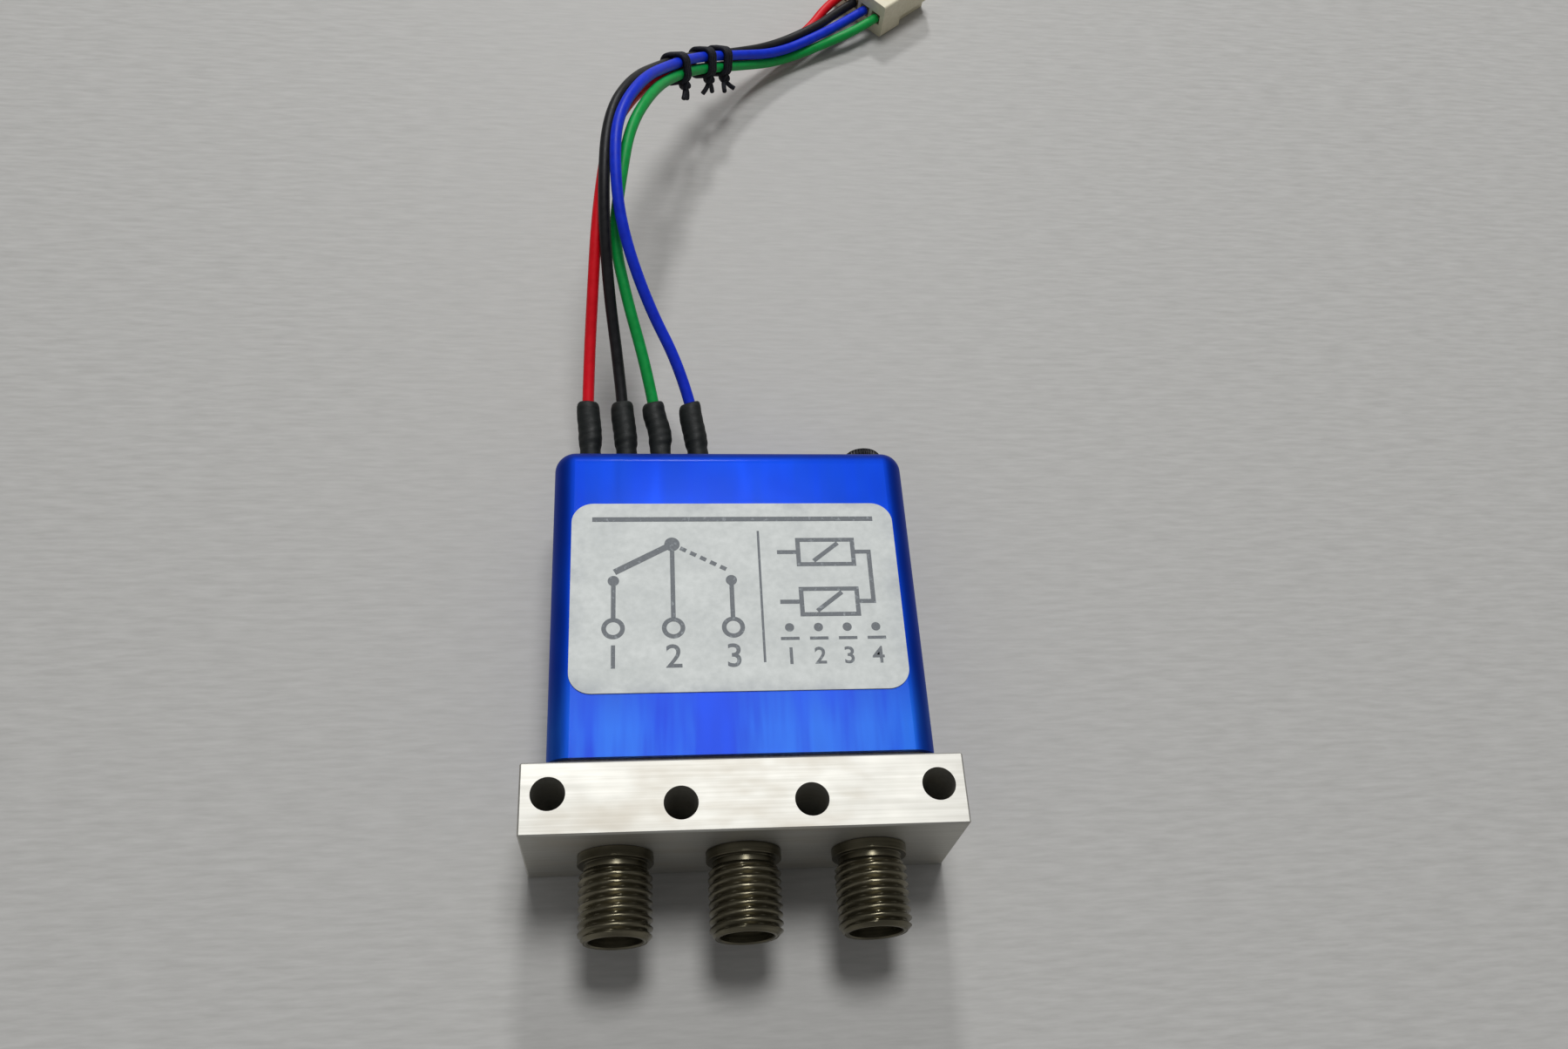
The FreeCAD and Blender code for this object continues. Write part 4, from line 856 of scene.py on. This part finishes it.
def build_cap_screw(shape):
    """Shank, knurled head with a rounded rim and a hexagon socket, turned about Y."""
    low, high = (Vector(corner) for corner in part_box("cover_screw"))
    middle = (low + high) / 2
    rim = (high.x - low.x) / 2
    head = high.y - HEAD_HEIGHT

    def turned(y, radius):
        return ring(Vector((middle.x, y, middle.z)), ACROSS, UP, radius, KNURLS * KNURL_POINTS)

    def knurled(angle):
        return rim - KNURL_DEPTH * (1 + math.cos(KNURLS * angle))

    def socket(angle):
        sector = (angle % (math.tau / 6)) - math.tau / 12
        return SOCKET_FLATS / 2 / math.cos(sector)

    rings = [
        turned(low.y, SHANK_TIP),
        turned(low.y + SHANK_CHAMFER, SHANK_RADIUS),
        turned(head, SHANK_RADIUS),
    ]
    rings += [turned(head + height, rim - inset) for height, inset in HEAD_FOOT]
    rings += [turned(y, knurled) for y in (head + KNURL_START, high.y - KNURL_END)]
    for share in (0.25, 0.5, 0.75, 1.0):
        turn = share * math.pi / 2
        inset = HEAD_ROUND * (1 - math.cos(turn)) + TOP_INSET * share
        rings.append(turned(high.y - HEAD_ROUND * (1 - math.sin(turn)), rim - inset))
    rings += [
        turned(high.y, lambda angle: socket(angle) + SOCKET_EDGE),
        turned(high.y - SOCKET_EDGE, socket),
        turned(high.y - SOCKET_DEPTH, socket),
        turned(high.y - DRILL_DEPTH, DRILL_TIP),
    ]
    skin(shape, rings)


cap_screw = mesh_piece("knurled_cap_screw", build_cap_screw, "black_screw")
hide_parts("cover_screw")
split_edges(cap_screw)


# Return springs under the heads of the push rods

SPRING_WIRE = 0.12 * MM
SPRING_TURNS = 5
FLAT_TURNS = 0.75
COIL_STEPS = 32
COIL_POINTS = 12


def build_spring(number, shape):
    """Round wire; the first and last turns lie flat, as on a ground spring."""
    low, high = (Vector(corner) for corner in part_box(f"return_spring_{number}"))
    middle = (low + high) / 2
    radius = (high.x - low.x) / 2 - SPRING_WIRE
    start = low.y + SPRING_WIRE
    climb = high.y - low.y - 2 * SPRING_WIRE
    rings = []
    for step in range(COIL_STEPS * SPRING_TURNS + 1):
        turn = step / COIL_STEPS
        angle = turn * math.tau
        share = min(max((turn - FLAT_TURNS) / (SPRING_TURNS - 2 * FLAT_TURNS), 0.0), 1.0)
        outward = Vector((math.cos(angle), 0.0, math.sin(angle)))
        centre = Vector((middle.x, start + climb * share, middle.z)) + outward * radius
        rings.append(ring(centre, outward, ALONG, SPRING_WIRE, COIL_POINTS))
    skin(shape, rings)


def add_springs():
    """Each spring stands on the bar and reaches up to the head of its rod; it rides on no body."""
    for number in (1, 2):
        spring = mesh_piece(f"coil_spring_{number}", lambda shape: build_spring(number, shape),
                            "port_steel", body=None)
        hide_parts(f"return_spring_{number}")
        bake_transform(spring)


add_springs()


# Print on the label: a changeover contact with its two coils
# Places and sizes of the print are in millimetres from the label's middle

INK_RISE = 0.012 * MM
DISC_RISE = INK_RISE * 1.4
DISC_POINTS = 32
RING_POINTS = 40
LINE = 0.42
# The contact: a pole above, two throws and three ports below
CONTACT_X = (-11.3, -5.9, -0.5)
POLE_Y = 5.2
ARM_Y = 2.3
THROW_Y = 1.4
PORT_Y = -3.4
PORT_RING = 1.05
STEM_GAP = 0.2
THROW_DOT = 0.52
POLE_DOT = 0.72
ARM_GAP = 0.1
ARM_WIDTH = 0.62
DASHES = 5
DASH_START = 0.14
DASH_PITCH = 0.17
DASH_SHARE = 0.1
DASH_WIDTH = 0.4
# The coils and their common lead
COIL_Y = (4.3, -0.9)
COIL_X = (5.9, 11.1)
COIL_HALF = 1.3
SLASH_X = (7.3, 9.7)
SLASH_HALF = 0.95
COIL_LEAD_X = 3.9
COMMON_X = 12.6
# The four wires' marks: a dot over a line
MARK_START = 4.6
MARK_PITCH = 2.65
MARK_X = tuple(MARK_START + number * MARK_PITCH for number in range(4))
MARK_DOT_Y = -3.5
MARK_DOT = 0.42
MARK_LINE_Y = -4.6
MARK_HALF = 0.85
MARK_WIDTH = 0.3
# The rule along the top, and the line between contact and coils
RULE = ((-13.3, 7.9), (13.3, 7.9))
RULE_WIDTH = 0.5
DIVIDER = ((2.2, -6.9), (2.2, 6.6))
DIVIDER_WIDTH = 0.22
# Middle and height of the numbers under the ports and under the marks
PORT_DIGITS = (-6.3, 3.2)
MARK_DIGITS = (-6.4, 2.3)
DIGIT_WEIGHT = 0.03 * MM


def on_circle(centre, radius, angle):
    return (centre[0] + radius * math.cos(angle), centre[1] + radius * math.sin(angle))


def flat_prism(shape, points, rise=INK_RISE):
    """A thin plate of ink with the given outline."""
    low, high = (
        [shape.verts.new((x * MM, y * MM + LABEL_Y, level)) for x, y in points]
        for level in (LABEL_TOP, LABEL_TOP + rise)
    )
    shape.faces.new(low)
    shape.faces.new(high)
    count = len(points)
    for index in range(count):
        after = (index + 1) % count
        shape.faces.new((low[index], low[after], high[after], high[index]))


def stroke(shape, start, stop, width=LINE):
    first, last = Vector(start), Vector(stop)
    way = (last - first).normalized()
    side = Vector((-way.y, way.x)) * width / 2
    flat_prism(shape, [first - side, last - side, last + side, first + side])


def disc(shape, centre, radius):
    """A dot, a little higher than the strokes that end under it."""
    angles = [index / DISC_POINTS * math.tau for index in range(DISC_POINTS)]
    flat_prism(shape, [on_circle(centre, radius, angle) for angle in angles], DISC_RISE)


def ring_mark(shape, centre, radius):
    for index in range(RING_POINTS):
        start, stop = index / RING_POINTS * math.tau, (index + 1) / RING_POINTS * math.tau
        outer = [on_circle(centre, radius, angle) for angle in (start, stop)]
        inner = [on_circle(centre, radius - LINE, angle) for angle in (stop, start)]
        flat_prism(shape, outer + inner)


def frame_mark(shape, low, high):
    (left, bottom), (right, top) = low, high
    half = LINE / 2
    for y in (bottom, top):
        stroke(shape, (left - half, y), (right + half, y))
    for x in (left, right):
        stroke(shape, (x, bottom + half), (x, top - half))


def print_contact(shape):
    left, middle, right = CONTACT_X
    for x in CONTACT_X:
        ring_mark(shape, (x, PORT_Y), PORT_RING)
    for x in (left, right):
        stroke(shape, (x, PORT_Y + PORT_RING), (x, THROW_Y - STEM_GAP))
        disc(shape, (x, THROW_Y), THROW_DOT)
    stroke(shape, (middle, PORT_Y + PORT_RING), (middle, POLE_Y - STEM_GAP))
    disc(shape, (middle, POLE_Y), POLE_DOT)
    stroke(shape, (middle, POLE_Y), (left + ARM_GAP, ARM_Y), ARM_WIDTH)
    for number in range(DASHES):
        low = DASH_START + number * DASH_PITCH
        ends = [(middle + (right - middle) * share, POLE_Y + (ARM_Y - POLE_Y) * share)
                for share in (low, low + DASH_SHARE)]
        stroke(shape, *ends, DASH_WIDTH)


def print_coils(shape):
    half = LINE / 2
    left, right = COIL_X
    for y in COIL_Y:
        frame_mark(shape, (left, y - COIL_HALF), (right, y + COIL_HALF))
        stroke(shape, (SLASH_X[0], y - SLASH_HALF), (SLASH_X[1], y + SLASH_HALF))
        stroke(shape, (COIL_LEAD_X, y), (left - half, y))
        stroke(shape, (right + half, y), (COMMON_X - half, y))
    stroke(shape, (COMMON_X, COIL_Y[1] - half), (COMMON_X, COIL_Y[0] + half))


def build_print(shape):
    print_contact(shape)
    print_coils(shape)
    stroke(shape, *RULE, RULE_WIDTH)
    stroke(shape, *DIVIDER, DIVIDER_WIDTH)
    for x in MARK_X:
        stroke(shape, (x - MARK_HALF, MARK_LINE_Y), (x + MARK_HALF, MARK_LINE_Y), MARK_WIDTH)
        disc(shape, (x, MARK_DOT_Y), MARK_DOT)


def add_digit(name, digit, x, y, size):
    """A plain number, turned into a mesh so that it exports like the rest."""
    data = bpy.data.curves.new(name, "FONT")
    data.body = str(digit)
    data.size = size * MM
    data.extrude = INK_RISE / 2
    data.offset = DIGIT_WEIGHT
    data.align_x = "CENTER"
    data.align_y = "CENTER"
    writing = link(f"{name}_outline", data)
    writing.location = (x * MM, y * MM + LABEL_Y, LABEL_TOP + INK_RISE / 2)
    bpy.context.view_layer.update()
    solid = bpy.data.meshes.new_from_object(writing)
    solid.transform(writing.matrix_world)
    bpy.data.objects.remove(writing)
    item = dressed(link(name, solid), "label")
    item.data.materials[0] = INK


def add_print():
    diagram = mesh_piece("label_diagram", build_print, "label", smooth=False)
    diagram.data.materials[0] = INK
    for number, x in enumerate(CONTACT_X, start=1):
        add_digit(f"label_port_number_{number}", number, x, *PORT_DIGITS)
    for number, x in enumerate(MARK_X, start=1):
        add_digit(f"label_wire_number_{number}", number, x, *MARK_DIGITS)


add_print()


# Floor and light

FLOOR_HALF = 8.0
FLOOR_DROP = 0.02 * MM
# Name, place, aim, size, power in watts
LAMPS = (
    ("key", (0.05, 0.42, 1.0), (0.0, 0.04, 0.0), 0.38, 6.0),
    ("fill", (-0.6, -0.7, 0.8), (0.0, 0.04, 0.0), 0.7, 0.5),
    ("rim", (0.02, 0.8, 0.6), (0.0, 0.03, 0.01), 0.11, 2.6),
)
WORLD_LIGHT = 0.2


def add_floor():
    shape = bmesh.new()
    bmesh.ops.create_grid(shape, x_segments=1, y_segments=1, size=FLOOR_HALF)
    data = bpy.data.meshes.new("floor")
    shape.to_mesh(data)
    shape.free()
    floor = link("floor", data)
    floor.location = (0.0, 0.0, -FLOOR_DROP)
    data.materials.append(table_top())


def add_lamp(name, place, aim, size, power):
    data = bpy.data.lights.new(name, "AREA")
    data.shape = "DISK"
    data.size = size
    data.energy = power
    lamp = link(name, data)
    lamp.location = place
    lamp.rotation_euler = (Vector(aim) - Vector(place)).to_track_quat("-Z", "Y").to_euler()


def add_world():
    world = bpy.data.worlds.new("studio")
    world.use_nodes = True
    background = world.node_tree.nodes["Background"]
    background.inputs["Color"].default_value = (1.0, 1.0, 1.0, 1.0)
    background.inputs["Strength"].default_value = WORLD_LIGHT
    bpy.context.scene.world = world


add_floor()
for lamp in LAMPS:
    add_lamp(*lamp)
add_world()

bpy.context.scene.view_settings.view_transform = "Standard"
